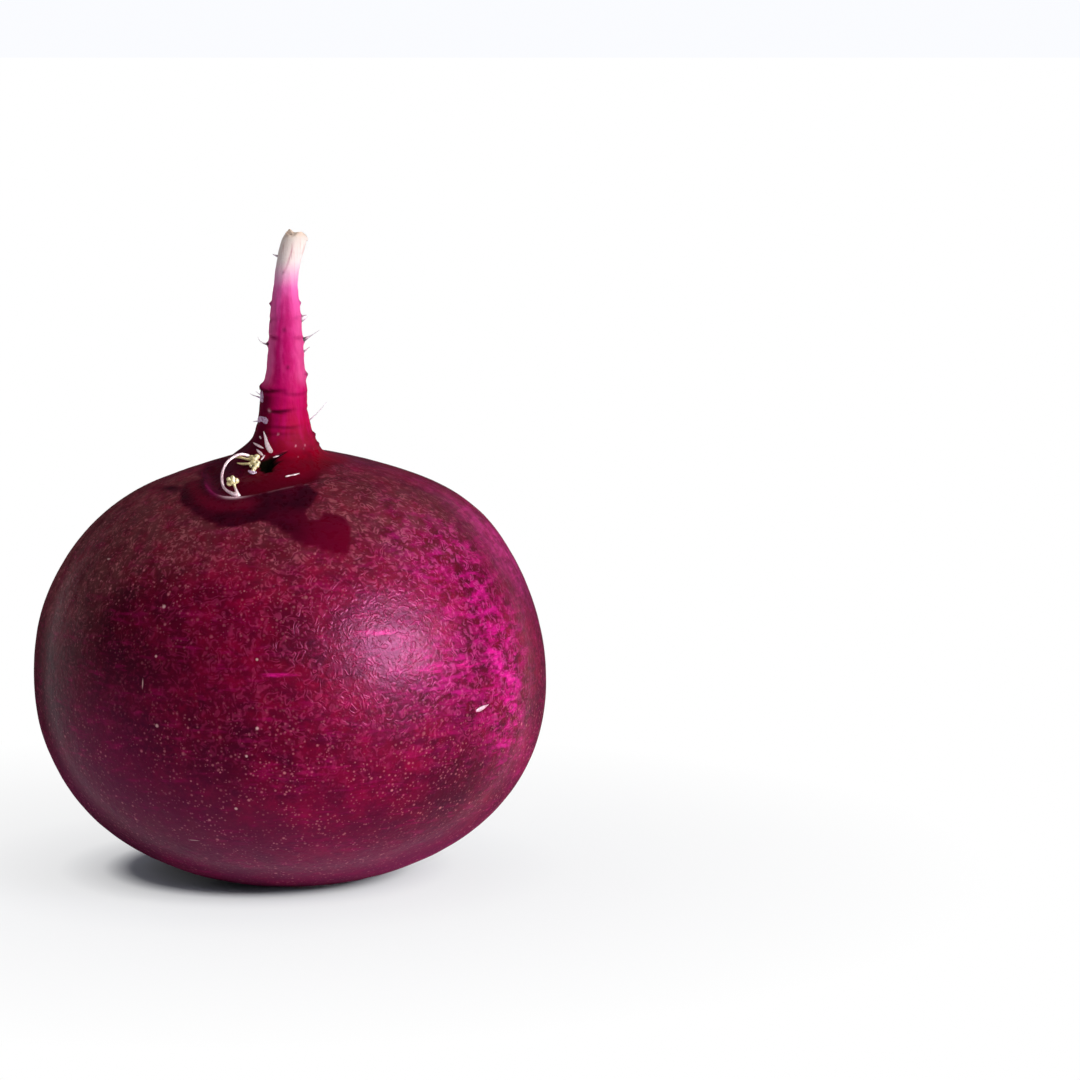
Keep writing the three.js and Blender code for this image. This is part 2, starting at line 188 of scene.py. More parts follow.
material, tree = new_material("white floor")
place = node(tree, "ShaderNodeTexCoord").outputs["Object"]
from_middle = {0: place, 1: GLOW_MIDDLE}
distance = node(tree, "ShaderNodeVectorMath", from_middle, operation="DISTANCE").outputs["Value"]
share = maths(tree, "DIVIDE", distance, GLOW_REACH)
glow = ramp(tree, share, [(at, (level, level, level, 1.0)) for at, level in GLOW_STOPS])
glow = maths(tree, "MULTIPLY", glow, seen_directly(tree))
# painted shadow: the sheet is painted dark grey close to the radish, where it stands
whiteness = remap(tree, share, DARK_PAPER_TO, WHITE_PAPER_FROM)
paper = mixed(tree, whiteness, rgb(70, 66, 74), rgb(220, 227, 245))
look = {"Base Color": paper, "Roughness": 0.5, "Specular IOR Level": 0.2}
sheet = node(tree, "ShaderNodeBsdfPrincipled", look)
white = node(tree, "ShaderNodeEmission", {"Color": (1, 1, 1, 1), "Strength": 1.0})
both = node(tree, "ShaderNodeMixShader", {0: glow, 1: sheet.outputs[0], 2: white.outputs[0]})
finish_shader(tree, both.outputs[0])
floor.data.materials.append(material)
print("floor finish:", material.name)

# %% [markdown]
# ## Light
# A wide soft lamp stands to the right of the camera, a weak one fills the left and another hangs
# overhead. A fourth lamp, beside the first, shows only as a highlight on the satin skin. An even grey
# world fills the shadows, and it is white just above the horizon, so that the floor seems endless.

# %% Add the lamps and the world
def softbox(name, towards, distance, width, height, level, lights="both"):
    """A rectangular lamp that shines at the radish. Level is about what a facing surface receives."""
    lamp = bpy.data.lights.new(name, "AREA")
    lamp.shape = "RECTANGLE"
    lamp.size, lamp.size_y = width, height
    lamp.energy = level * math.pi * distance**2 * math.pi
    holder = bpy.data.objects.new(name, lamp)
    direction = Vector(towards).normalized()
    holder.location = Vector((0, 0, 0.04)) + direction * distance
    holder.rotation_euler = direction.to_track_quat("Z", "Y").to_euler()
    holder.visible_glossy = lights != "colour"
    holder.visible_diffuse = lights != "gloss"
    bpy.context.scene.collection.objects.link(holder)


KEY_DIRECTION = (0.756, -0.576, 0.347)
softbox("key", KEY_DIRECTION, 1.0, 0.4, 0.5, 0.8)
softbox("highlight", KEY_DIRECTION, 1.0, 0.34, 0.4, 13.5, "gloss")
softbox("fill", (-0.9, -0.45, 0.35), 1.0, 0.9, 0.9, 0.22, "colour")
softbox("overhead", (-0.1, 0.35, 1), 1.1, 1.0, 0.8, 0.16, "colour")

WORLD_LEVEL = 0.1
HORIZON_FROM, HORIZON_TO = 0.14, 0.17

world = bpy.data.worlds.new("studio")
world.use_nodes = True
tree = world.node_tree
background = tree.nodes["Background"]
up = height_of(tree, node(tree, "ShaderNodeTexCoord").outputs["Generated"])
below = remap(tree, up, HORIZON_FROM, HORIZON_TO, 1.0, 0.0)
low = maths(tree, "MULTIPLY", below, seen_directly(tree))
tree.links.new(remap(tree, low, 0.0, 1.0, WORLD_LEVEL, 1.0), background.inputs["Strength"])
background.inputs["Color"].default_value = (0.96, 0.97, 1.0, 1.0)
bpy.context.scene.world = world

# %% [markdown]
# ## Curves that shape the root
# The root is one grown body: a flattened globe, a sunken crown, a collar and the long tap root. Each
# part of it follows a formula, so we can make it as fine as we like. These helpers work on whole
# arrays of numbers, one for each vertex.

# %% Helpers for soft steps, bumps and smooth tracks
def smooth(value, low, high):
    """0 below low, 1 above high, and a soft step between."""
    share = np.clip((value - low) / (high - low), 0, 1)
    return share * share * (3 - 2 * share)


def bump(distance, width):
    """A bell that is 1 in the middle and almost gone two widths away."""
    return np.exp(-((distance / width) ** 2))


def turn(start, end):
    """The signed turn from one direction to another, in degrees."""
    return (end - start + 180) % 360 - 180


def track(rows, at):
    """A smooth line through rows of (place, value, ...), read at an array of places."""
    rows = np.array(rows, float)
    knots, values = rows[:, 0], rows[:, 1:]
    slopes = np.gradient(values, knots, axis=0)
    at = np.clip(np.asarray(at, float), knots[0], knots[-1])
    i = np.clip(np.searchsorted(knots, at) - 1, 0, len(knots) - 2)
    width = (knots[i + 1] - knots[i])[:, None]
    t = (at - knots[i])[:, None] / width
    start = (1 + 2 * t) * (1 - t) ** 2 * values[i] + t * (1 - t) ** 2 * width * slopes[i]
    end = t * t * (3 - 2 * t) * values[i + 1] + t * t * (t - 1) * width * slopes[i + 1]
    return start + end


def ripples(points, size, offset=0.0):
    """Smooth noise from -1 to 1 at each point, with lumps of about that size."""
    shift = Vector((offset, 1.7 * offset, -offset))
    return np.array([noise.noise(Vector(p) / size + shift) for p in points])


# %% [markdown]
# ## The globe
# The globe is two half ovals that meet at the widest ring. A few broad dents and swellings take away
# its lathe-turned look. Each moves the skin along the line from the middle of the globe.

# %% Form the globe
WIDEST_RADIUS = 41.1
WIDEST_HEIGHT = 33.45
UPPER_HALF = (35.8, 2.1)  # height, fullness
LOWER_HALF = (34.0, 2.18)
DENTS = [  # azimuth, elevation, reach in degrees, depth
    (0, 17, 14, 0.4),
    (8, 42, 13, -0.6),
    (10, 68, 13, 0.75),
    (-5, -25, 26, -0.4),
    (180, -26, 13, 0.35),
    (165, 64, 13, 0.7),
    (-170, -57, 10, 0.6),
    (100, 12, 26, 0.8),
    (70, -34, 18, 0.5),
    (140, -8, 18, -0.4),
    (-75, -20, 22, -0.3),
]


def half_profile(half, radius):
    """How far a half of the plain globe reaches from the widest ring, at a distance from its axis."""
    height, fullness = half
    return height * (1 - np.minimum(radius / WIDEST_RADIUS, 1) ** fullness) ** (1 / fullness)


def dented(points):
    """Moves points of the plain globe in at each dent and out at each swelling."""
    middle = np.array([0, 0, WIDEST_HEIGHT])
    outward = points - middle
    distance = np.linalg.norm(outward, axis=1)
    outward /= distance[:, None]
    for azimuth, elevation, reach, depth in DENTS:
        across, up = math.radians(azimuth), math.radians(elevation)
        towards = (math.cos(up) * math.cos(across), math.cos(up) * math.sin(across), math.sin(up))
        angle = np.degrees(np.arccos(np.clip(outward @ np.array(towards), -1, 1)))
        distance = distance - depth * bump(angle, reach)
    return middle + outward * distance[:, None]


def globe_points(radius, azimuth):
    """The underside of the globe, from the crown to the widest ring."""
    z = WIDEST_HEIGHT - half_profile(LOWER_HALF, radius)
    return dented(np.stack([radius * np.cos(azimuth), radius * np.sin(azimuth), z], axis=1))


print("globe: %.1f mm wide, %d dents and swellings" % (2 * WIDEST_RADIUS, len(DENTS)))

# %% [markdown]
# ## The collar
# The shoulder levels out round the tap root and then sweeps up into it. The collar sits forward of the
# globe's middle, so its rings slide forward as they close in. Round its front and left side a lip of
# skin curls up, with a glossy groove behind it.

# %% Form the shoulder and the collar
NECK_CENTRE = (-0.5, -5.0)
NECK_RADIUS = 4.95
NECK_HEIGHT = 71.9
NECK_LEAN = -0.75
COLLAR_RADIUS, COLLAR_NARROWING, COLLAR_NARROW_AT, COLLAR_NARROW_WIDTH = 12.5, 3.2, 175, 50
FORWARD_TO, CENTRED_FROM = 16.7, 30
FLARE_RADIUS = 10.5
LIP_RADIUS, LIP_BULGE, LIP_BULGE_AT, LIP_BULGE_WIDTH = 13.4, 4.1, -117, 26
LIP_RISE, LIP_WIDTH, LIP_LOWEST = 0.34, 0.38, 0.25
GROOVE_BEHIND, GROOVE_DEPTH, GROOVE_WIDTH = 2.0, 0.9, 1.3
LIP_MIDDLE, LIP_HALF_SPAN, LIP_FADE, LIP_TALLEST_AT, LIP_TALLEST_WIDTH = -115, 63, 18, -114, 16


def shoulder_height(radius):
    """The height of the plain upper half, at a distance from the globe's axis."""
    return WIDEST_HEIGHT + half_profile(UPPER_HALF, radius)


COLLAR_LEVEL = shoulder_height(math.hypot(*NECK_CENTRE))


def lip_radius(degrees):
    """How far the crest of the lip is from the middle of the neck, in each direction."""
    return LIP_RADIUS + LIP_BULGE * bump(turn(LIP_BULGE_AT, degrees), LIP_BULGE_WIDTH)


def lip_strength(degrees):
    """1 where the lip is at its strongest, fading to 0 at both of its ends."""
    return 1 - smooth(np.abs(turn(LIP_MIDDLE, degrees)), LIP_HALF_SPAN - LIP_FADE, LIP_HALF_SPAN)


def shoulder_points(radius, azimuth):
    """The upper half, from the widest ring over the shoulder and the collar to the neck."""
    degrees = np.degrees(azimuth)
    forward = 1 - smooth(radius, FORWARD_TO, CENTRED_FROM)
    lean = NECK_LEAN * smooth(radius, 5, 7.5) * (1 - smooth(radius, 7.5, 12))
    x = NECK_CENTRE[0] * forward + lean + radius * np.cos(azimuth)
    y = NECK_CENTRE[1] * forward + radius * np.sin(azimuth)
    on_globe = dented(np.stack([x, y, shoulder_height(np.hypot(x, y))], axis=1))
    ends_at = COLLAR_RADIUS - COLLAR_NARROWING * bump(turn(COLLAR_NARROW_AT, degrees), COLLAR_NARROW_WIDTH)
    level = (1 - smooth(radius, NECK_RADIUS, ends_at))[:, None]
    ground = np.stack([x, y, np.full_like(x, COLLAR_LEVEL)], axis=1)
    points = on_globe * (1 - level) + ground * level
    flare = np.maximum(0, (FLARE_RADIUS - radius) / (FLARE_RADIUS - NECK_RADIUS)) ** 3
    past = radius - lip_radius(degrees)
    groove = GROOVE_DEPTH * bump(past + GROOVE_BEHIND, GROOVE_WIDTH)
    tallest = bump(turn(LIP_TALLEST_AT, degrees), LIP_TALLEST_WIDTH)
    rise = LIP_RISE * (LIP_LOWEST + (1 - LIP_LOWEST) * tallest)
    lip = lip_strength(degrees) * (rise * bump(past, LIP_WIDTH) - groove)
    points[:, 2] += (NECK_HEIGHT - COLLAR_LEVEL) * flare + lip
    return points


print("collar at %.1f mm, neck at %.1f mm" % (COLLAR_LEVEL, NECK_HEIGHT))

# %% [markdown]
# ## The tap root
# The tap root tapers, leans a little and ends in a slanting cut. Its rings stand square to a curved
# middle line. Short wrinkles with a raised edge cross it, each facing its own way, and small nubs in two
# ranks mark where side rootlets broke off.

# %% Form the tap root
TAP_ROOT_RADII = [
    (71.9, 4.95), (72.8, 4.6), (74.0, 4.25), (77.7, 3.73), (79.6, 3.6), (81.6, 3.2), (85.6, 2.82),
    (90.4, 2.54), (93.5, 2.18), (95.9, 1.93), (99.0, 1.84), (103.0, 1.8), (104.4, 1.66),
]  # fmt: skip
TAP_ROOT_LINE = [
    (71.9, -0.5, -5.0), (77.7, -0.4, -5.4), (81.6, -0.1, -5.5), (85.6, 0.0, -5.4), (90.4, -0.05, -5.2),
    (95.9, 0.02, -4.9), (99.0, 0.4, -4.6), (101.4, 0.93, -4.3), (104.4, 1.9, -3.9),
]  # fmt: skip
TIP_HEIGHT, CUT_DEPTH = 104.4, 1.2
WRINKLES = [  # height, depth, the direction it faces and its spread in degrees
    (72.8, 0.2, -110, 50), (73.9, 0.2, -84, 36), (76.3, 0.46, -99, 29), (79.3, 0.42, -150, 58),
    (79.0, 0.12, -55, 60), (87.6, 0.3, -140, 28), (87.9, 0.22, -38, 26), (90.7, 0.12, -148, 34),
    (90.6, 0.1, -40, 26), (84.4, 0.12, 60, 60), (80.8, 0.2, 95, 70), (76.6, 0.24, 55, 60),
    (74.0, 0.2, 150, 50),
]  # fmt: skip


def wrinkle_depth(height, azimuth):
    """How far the wrinkles cut in. Each wanders a little up and down on its way round."""
    total = np.zeros_like(height)
    for number, (at, depth, faces, spread) in enumerate(WRINKLES):
        wander = 0.2 * np.sin(azimuth + number) + 0.12 * np.sin(3 * azimuth + 2 * number)
        strength = bump(turn(faces, np.degrees(azimuth)), spread)
        past = height - at - wander
        total += depth * strength * (bump(past, 0.3) - 0.5 * bump(past - 0.6, 0.28))
    return total


def tap_root_points(height, share, azimuth):
    """Rings from the neck to the tip. A share of 1 is on the skin, and 0 in the middle of the cut."""
    middle = track(TAP_ROOT_LINE, height)
    lean = track(TAP_ROOT_LINE, height + 0.5) - track(TAP_ROOT_LINE, height - 0.5)
    lean *= smooth(height, NECK_HEIGHT, NECK_HEIGHT + 4)[:, None]
    radius = track(TAP_ROOT_RADII, height)[:, 0] - wrinkle_depth(height, azimuth)
    x, y = radius * share * np.cos(azimuth), radius * share * np.sin(azimuth)
    cut = smooth(height, TIP_HEIGHT - CUT_DEPTH, TIP_HEIGHT)
    rounding = 0.6 * share**8 + 0.2 * (1 - share) + 0.2 * np.sin(3 * azimuth + 2) * share
    slant = -(0.12 * x + rounding) * cut
    z = height - lean[:, 0] * x - lean[:, 1] * y + slant
    return np.stack([middle[:, 0] + x, middle[:, 1] + y, z], axis=1)


print("tap root: %.1f mm long, %d wrinkles" % (TIP_HEIGHT - NECK_HEIGHT, len(WRINKLES)))

# %% [markdown]
# ## The trimmed crown
# The radish stands on the flat cut where its leaves were. Inside the cut the scars of the leaf stalks
# show as crescents in a spiral. All of this relief goes up into the root, so that it still stands flat.

# %% Form the crown
FLAT_RADIUS, CROWN_RADIUS, CROWN_TOP = 8.2, 11.6, 5
CROWN_TRACK = [(0, 0), (FLAT_RADIUS, 0), (8.9, 0.24), (9.6, 0.8), (10.6, 0.62), (CROWN_RADIUS, 0.46)]
SCARS = 13
GOLDEN_TURN = math.radians(137.5)


def scar_depth(radius, azimuth):
    """Crescents of the leaf stalks, older ones further out."""
    x, y = radius * np.cos(azimuth), radius * np.sin(azimuth)
    total = np.zeros_like(radius)
    for number in range(2, SCARS):
        out, at = 1.95 * math.sqrt(number), GOLDEN_TURN * number
        along = -x * math.sin(at) + y * math.cos(at)
        past = x * math.cos(at) + y * math.sin(at) - out + 0.14 * along**2
        total += 0.3 * bump(past, 0.28) * bump(along, 1.3)
    return total


def crown_points(radius, azimuth):
    """The cut, its scars and the sunken rim round it, which rises to meet the globe."""
    plain = np.maximum(track(CROWN_TRACK, radius)[:, 0], 0)
    joins = globe_points(np.full_like(radius, CROWN_RADIUS), azimuth)[:, 2]
    plain += (joins - CROWN_TRACK[-1][1]) * smooth(radius, 9.6, CROWN_RADIUS)
    relief = scar_depth(radius, azimuth) * (1 - smooth(radius, 7.4, 8.4))
    return np.stack([radius * np.cos(azimuth), radius * np.sin(azimuth), plain + relief], axis=1)


print("flat to stand on: %.1f mm across" % (2 * FLAT_RADIUS))

# %% [markdown]
# ## Spin the root
# A lathe makes the root's mesh: a line of vertices is spun about the axis into bands. The line holds
# only each ring's number, and the formulas then push every ring to its place. The globe has twice as
# many segments as the crown and the tap root, so the bands are bridged where they meet.

# %% Spin the bands and push them to their places
GLOBE_SEGMENTS = 320
END_SEGMENTS = 160
LOWER_FROM, EVEN_STEPS_FROM, FINE_STEPS_FROM = 12.2, 21, 19.2  # radii of rings
CUT_SHARES = [0.9, 0.78, 0.64, 0.5, 0.34, 0.17, 0]


def spun_band(bm, rings, segments, closed_end=None):
    """Spins a line with one vertex a ring. Returns the band's vertices, with z as the ring's number."""
    line = [bm.verts.new((0 if ring == closed_end else 1, 0, ring)) for ring in range(rings)]
    edges = [bm.edges.new(pair) for pair in zip(line, line[1:])]
    before = set(bm.verts) - set(line)
    bmesh.ops.spin(
        bm, geom=line + edges, cent=(0, 0, 0), axis=(0, 0, 1), dvec=(0, 0, 0),
        angle=2 * math.pi, steps=segments, use_merge=True, use_duplicate=False,
    )  # fmt: skip
    band = [v for v in bm.verts if v not in before]
    bmesh.ops.remove_doubles(bm, verts=band, dist=1e-4)
    return [v for v in bm.verts if v not in before]


def push(band, formula, *tables):
    """Moves a band's vertices by a formula of each ring's values and the azimuth."""
    place = np.array([v.co for v in band])
    ring = np.round(place[:, 2]).astype(int)
    azimuth = np.arctan2(place[:, 1], place[:, 0])
    moved = formula(*[np.array(table)[ring] for table in tables], azimuth)
    for vertex, point in zip(band, moved):
        vertex.co = point


def rim(band, ring_numbers, ring):
    """The edges of one ring at the end of a band."""
    chosen = {v for v, number in zip(band, ring_numbers) if number == ring}
    return list({e for v in chosen for e in v.link_edges if e.other_vert(v) in chosen})


crown_radii = np.concatenate(
    [np.arange(0, FLAT_RADIUS, 0.34), np.arange(FLAT_RADIUS, CROWN_RADIUS, 0.2), [CROWN_RADIUS]]
)
lower_angles = np.linspace(math.asin(LOWER_FROM / WIDEST_RADIUS), math.pi / 2, 62)
upper_angles = np.linspace(math.pi / 2, math.asin(EVEN_STEPS_FROM / WIDEST_RADIUS), 46)[1:]
even_steps = np.arange(EVEN_STEPS_FROM - 0.3, FINE_STEPS_FROM, -0.3)
fine_steps = np.arange(FINE_STEPS_FROM, NECK_RADIUS, -0.2)
shoulder_radii = np.concatenate([WIDEST_RADIUS * np.sin(upper_angles), even_steps, fine_steps])
cut_rings = [TIP_HEIGHT] * (len(CUT_SHARES) + 1)
tap_heights = np.concatenate([np.arange(NECK_HEIGHT + 0.1, TIP_HEIGHT, 0.25), cut_rings])
tap_shares = np.concatenate([np.ones(len(tap_heights) - len(CUT_SHARES)), CUT_SHARES])

bm = bmesh.new()
bands = []
for rings, segments, closed_end, formula, tables in (
    (len(crown_radii), END_SEGMENTS, 0, crown_points, (crown_radii,)),
    (len(lower_angles), GLOBE_SEGMENTS, None, globe_points, (WIDEST_RADIUS * np.sin(lower_angles),)),
    (len(shoulder_radii), GLOBE_SEGMENTS, None, shoulder_points, (shoulder_radii,)),
    (len(tap_heights), END_SEGMENTS, len(tap_heights) - 1, tap_root_points, (tap_heights, tap_shares)),
):
    band = spun_band(bm, rings, segments, closed_end)
    numbers = [round(v.co.z) for v in band]
    bands.append((rim(band, numbers, 0), rim(band, numbers, rings - 1)))
    push(band, formula, *tables)
for (_, end), (start, _) in zip(bands, bands[1:]):
    bmesh.ops.bridge_loops(bm, edges=end + start)
print("root:", len(bm.verts), "vertices;", "open edges:", sum(not e.is_manifold for e in bm.edges))

# %% [markdown]
# ## The pit and its cracks
# At the front of the collar the skin has torn open round a small pit, where the rootlets and a bud come
# out, and two cracks run from it to the right. The mesh is made finer there first, because a dent
# can't be sharper than the faces that carry it.

# %% Refine the mesh round the pit and push the pit in
PIT_MIDDLE = Vector((-2.75, -13.2, 68.7))
REFINED_REACH = 5.0

near = {v for v in bm.verts if (v.co - PIT_MIDDLE).length < REFINED_REACH}
bmesh.ops.subdivide_edges(
    bm, edges=[e for e in bm.edges if e.verts[0] in near and e.verts[1] in near],
    cuts=1, use_grid_fill=True,
)  # fmt: skip
bmesh.ops.triangulate(bm, faces=[f for f in bm.faces if len(f.verts) > 4])
bmesh.ops.recalc_face_normals(bm, faces=bm.faces)

root_mesh = bpy.data.meshes.new("radish_skin")
bm.to_mesh(root_mesh)
bm.free()
root_mesh.shade_smooth()


def per_vertex(mesh, what):
    """The places ("co") or the normals ("normal") of a mesh's vertices, in rows of three numbers."""
    values = np.zeros(len(mesh.vertices) * 3)
    mesh.vertices.foreach_get(what, values)
    return values.reshape(-1, 3)


points = per_vertex(root_mesh, "co")
outward = per_vertex(root_mesh, "normal")
print("faces:", sum(len(p.vertices) - 2 for p in root_mesh.polygons), "triangles")
CRACKS = [  # from the pit outwards: start, end, widest, depth
    ((-2.0, -12.2), (0.5, -11.1), 0.4, 0.5),
    ((-1.9, -13.0), (-0.1, -12.6), 0.36, 0.5),
]


def crack_mask(points, start, end, width):
    """1 along a line that narrows from its start to its end."""
    line = np.subtract(end, start)
    share = np.clip((points[:, :2] - start) @ line / (line @ line), 0, 1)
    distance = np.linalg.norm(points[:, :2] - start - share[:, None] * line, axis=1)
    return bump(distance, width * (1.05 - share)) * (points[:, 2] > 60)


across = np.array([1.0, 0.1, 0])
along = np.array([0.05, -0.85, -0.5])
offset = points - np.array(PIT_MIDDLE)
ragged = 1 + 0.3 * ripples(points, 0.7, 6)
pit = bump(np.hypot(offset @ across / 1.35, offset @ along / 1.8) * ragged, 0.85)
crack = sum(crack_mask(points, np.array(a), np.array(b), w) * d for a, b, w, d in CRACKS)

# %% [markdown]
# ## Relief of the skin
# A grown skin is never smooth. Broad soft swells and finer bumps go all over it, the tap root has
# lengthwise fibres and nubs, and its tip is torn into lobes. The relief moves each vertex along its
# normal. The sinks go deeper than the swells go out, so that the root stays within its measured size.

# %% Add the relief
NUBS = [  # place on the tap root, size, height
    ((-2.2, -5.7, 93.0), 0.32, 0.4), ((-2.35, -6.3, 90.4), 0.3, 0.3), ((-2.8, -5.0, 86.6), 0.42, 0.5),
    ((-3.7, -6.0, 79.7), 0.55, 0.7), ((2.4, -5.0, 93.1), 0.34, 0.45), ((2.75, -5.0, 90.7), 0.48, 0.65),
    ((3.0, -5.0, 87.2), 0.48, 0.6), ((3.3, -5.2, 81.8), 0.48, 0.6), ((4.5, -5.4, 72.3), 0.45, 0.5),
    ((5.1, -5.8, 70.9), 0.4, 0.35), ((0.1, -7.9, 89.0), 0.28, 0.2), ((0.55, -8.4, 83.2), 0.28, 0.25),
    ((-0.2, -6.5, 98.0), 0.22, 0.15), ((-0.4, -2.5, 88.0), 0.3, 0.3), ((0.4, -2.2, 83.5), 0.35, 0.3),
    ((-2.6, -3.6, 84.0), 0.3, 0.3),
]  # fmt: skip
SCUFFS = [  # place, size
    ((1.7, -10.1, 71.0), 0.1), ((3.2, -9.25, 71.0), 0.13), ((2.9, -9.6, 70.4), 0.12),
    ((-1.1, -9.4, 72.8), 0.13), ((1.2, -10.4, 70.5), 0.09), ((-2.5, -8.46, 76.4), 0.24),
    ((4.4, -8.2, 70.2), 0.1), ((2.1, -11.3, 69.4), 0.1),
]  # fmt: skip

on_tap_root = smooth(points[:, 2], 70.5, 74)
from_neck = points[:, :2] - NECK_CENTRE
neck_distance = np.hypot(*from_neck.T)
neck_degrees = np.degrees(np.arctan2(from_neck[:, 1], from_neck[:, 0]))
swells = 0.10 * ripples(points, 11, 3) + 0.05 * ripples(points, 4.5, 9) + 0.025 * ripples(points, 1.9, 5)
fibres = ripples(points * np.array([1, 1, 0.09]), 0.55, 2)
fibres += 0.5 * ripples(points * np.array([1, 1, 0.2]), 0.3, 7)
root_relief = 0.035 * fibres + 0.08 * ripples(points, 2.2, 6) + 0.05 * ripples(points, 0.9, 4) - 0.03
nub = sum(h * bump(np.linalg.norm(points - np.array(at), axis=1), size) for at, size, h in NUBS)
scuff = sum(bump(np.linalg.norm(points - np.array(at), axis=1), size) for at, size in SCUFFS)
tip = smooth(points[:, 2], 102.6, 104.2)
relief = (swells - 0.09) * (1 - on_tap_root) + root_relief * on_tap_root + nub + 0.1 * scuff
relief += tip * (0.16 * ripples(points, 0.8, 4) - 0.14) - 1.4 * pit - crack
on_crown = 1 - smooth(np.hypot(points[:, 0], points[:, 1]), 8.4, 12)
relief *= 1 - on_crown * (points[:, 2] < CROWN_TOP)
points += outward * relief[:, None]
root_mesh.vertices.foreach_set("co", points.ravel())
root_mesh.update()
print("relief from %.2f to %.2f mm" % (relief.min(), relief.max()))

# %% [markdown]
# ## Masks for the paint
# The finish changes with the place: pale on the lip, where the skin's pale edge has a painted glint,
# painted shade in the wrinkles and the cracks, dark tissue and painted shade in the pit, glossy in the
# collar. We know those places from the formulas, so they are stored on the mesh as attributes, one
# number for each vertex, and the material reads them by name. Noise of two sizes makes their edges
# wander, because a grown skin has no ruled lines.

# %% Store the masks of the pit, the nubs, the crown and the tip
def store(mesh, name, values):
    """Keeps one number for each vertex under a name."""
    kept = mesh.attributes.new(name, "FLOAT", "POINT")
    kept.data.foreach_set("value", np.asarray(values, np.float32))


def keep(**masks):
    """Stores masks on the root's mesh, each held between 0 and 1."""
    for name, values in masks.items():
        store(root_mesh, name, np.clip(values, 0, 1))
    print("masks:", *masks)


height = points[:, 2]
wobble = ripples(points, 3, 1)
fine_wobble = ripples(points, 1.1, 8)
keep(pit=pit * 3.2 - 0.3, crack=crack * 3, nub=nub * 3, scuff=scuff)
keep(crown=on_crown * (height < CROWN_TOP), tip=smooth(height, 103.2, 104.2))

# %% Store the masks of the lip and the collar
COLLAR_EDGE = [  # direction, how far the bare red collar reaches
    (-180, 12), (-150, 14.5), (-141, 15.2), (-125, 17), (-113, 17.6), (-104, 16), (-95, 15.1),
    (-85, 14.2), (-76, 13.6), (-65, 11.8), (-55, 10.3), (-41, 9.4), (-13, 9.4), (30, 10.5), (90, 10.5),
    (150, 11.5), (180, 12),
]  # fmt: skip

upper = smooth(height, 52, 55)
lip_past = neck_distance - lip_radius(neck_degrees)
# the pale lip line is partly the pale torn edge of the skin and partly a painted glint on its crest; the rose
# line just inside the lip on the left is painted the same way
paleness = bump(turn(-114, neck_degrees), 6) + 0.16 * bump(turn(-84, neck_degrees), 18) * (fine_wobble > 0)
lip = bump(lip_past, 0.22) * np.clip(paleness, 0, 1) * upper
rose = bump(lip_past + 0.1, 0.4) * bump(turn(-130, neck_degrees), 10) * upper
plum = (1 - smooth(np.abs(turn(-165, neck_degrees)), 30, 60)) * upper
collar_past = neck_distance - track(COLLAR_EDGE, neck_degrees)[:, 0]
open_side = smooth(np.abs(turn(LIP_MIDDLE, neck_degrees)), 35, 60)
collar_past = collar_past + open_side * (0.8 * wobble + 0.5 * fine_wobble)
collar = (1 - smooth(collar_past, -0.5, 0.4 + 1.2 * open_side)) * upper
keep(lip=lip, rose=rose, plum=plum, collar=collar, near_neck=smooth(height, 65.5, 70))

# %% Store the masks of the dark patch in front of the lip
PATCH_OUTLINE = [  # corners of the dark patch, seen from above
    (-15.5, -12), (-16.3, -16.5), (-15.2, -19.6), (-13.7, -22), (-11.5, -24.5), (-9.3, -26.4),
    (-6.6, -27.2), (-4.5, -26.8), (-3, -26.4), (-1, -27.4), (0.8, -28.8), (3.1, -30.1), (5.4, -30.5),
    (8.6, -30.8), (10.8, -30.2), (11.2, -26.8), (10.4, -24.3), (8.5, -24.1), (6.6, -24.5), (6.0, -26),
    (4.6, -26.2), (3.6, -25), (4.5, -23.8), (5.4, -22), (5.8, -20), (4.2, -18), (0, -16), (-8, -15),
    (-12, -12),
]  # fmt: skip


def depth_inside(outline, x, y):
    """How far each point is inside an outline, in millimetres. It is negative outside."""
    inside, nearest = np.zeros(len(x), bool), np.full(len(x), np.inf)
    for (x0, y0), (x1, y1) in zip(outline, outline[1:] + outline[:1]):
        if y0 != y1:
            inside ^= ((y0 > y) != (y1 > y)) & (x < x0 + (y - y0) * (x1 - x0) / (y1 - y0))
        length = math.hypot(x1 - x0, y1 - y0)
        share = np.clip(((x - x0) * (x1 - x0) + (y - y0) * (y1 - y0)) / length**2, 0, 1)
        nearest = np.minimum(nearest, np.hypot(x - x0 - share * (x1 - x0), y - y0 - share * (y1 - y0)))
    return np.where(inside, nearest, -nearest)


x, y = points[:, 0], points[:, 1]
ragged = 0.3 * wobble + 0.35 * fine_wobble
patch = smooth(depth_inside(PATCH_OUTLINE, x, y) + ragged, -0.15, 0.45)
from_side_spot = np.hypot((x + 18 + (y + 11.6) * 0.75) / 0.9, (y + 11.6) / 2.6)
patch = np.maximum(patch, bump(from_side_spot + 0.4 * ragged, 1.0))
patch *= upper * smooth(lip_past, -0.3, 0.3)
flap = smooth(x, -1, 9) * smooth(-y, 23, 26)
on_the_left = 1 - smooth(np.abs(turn(-128, neck_degrees)), 20, 34)
blush = bump(lip_past - 1.9 + 0.5 * ragged, 1.2) * on_the_left * upper
keep(patch=patch, flap=flap, blush=blush)

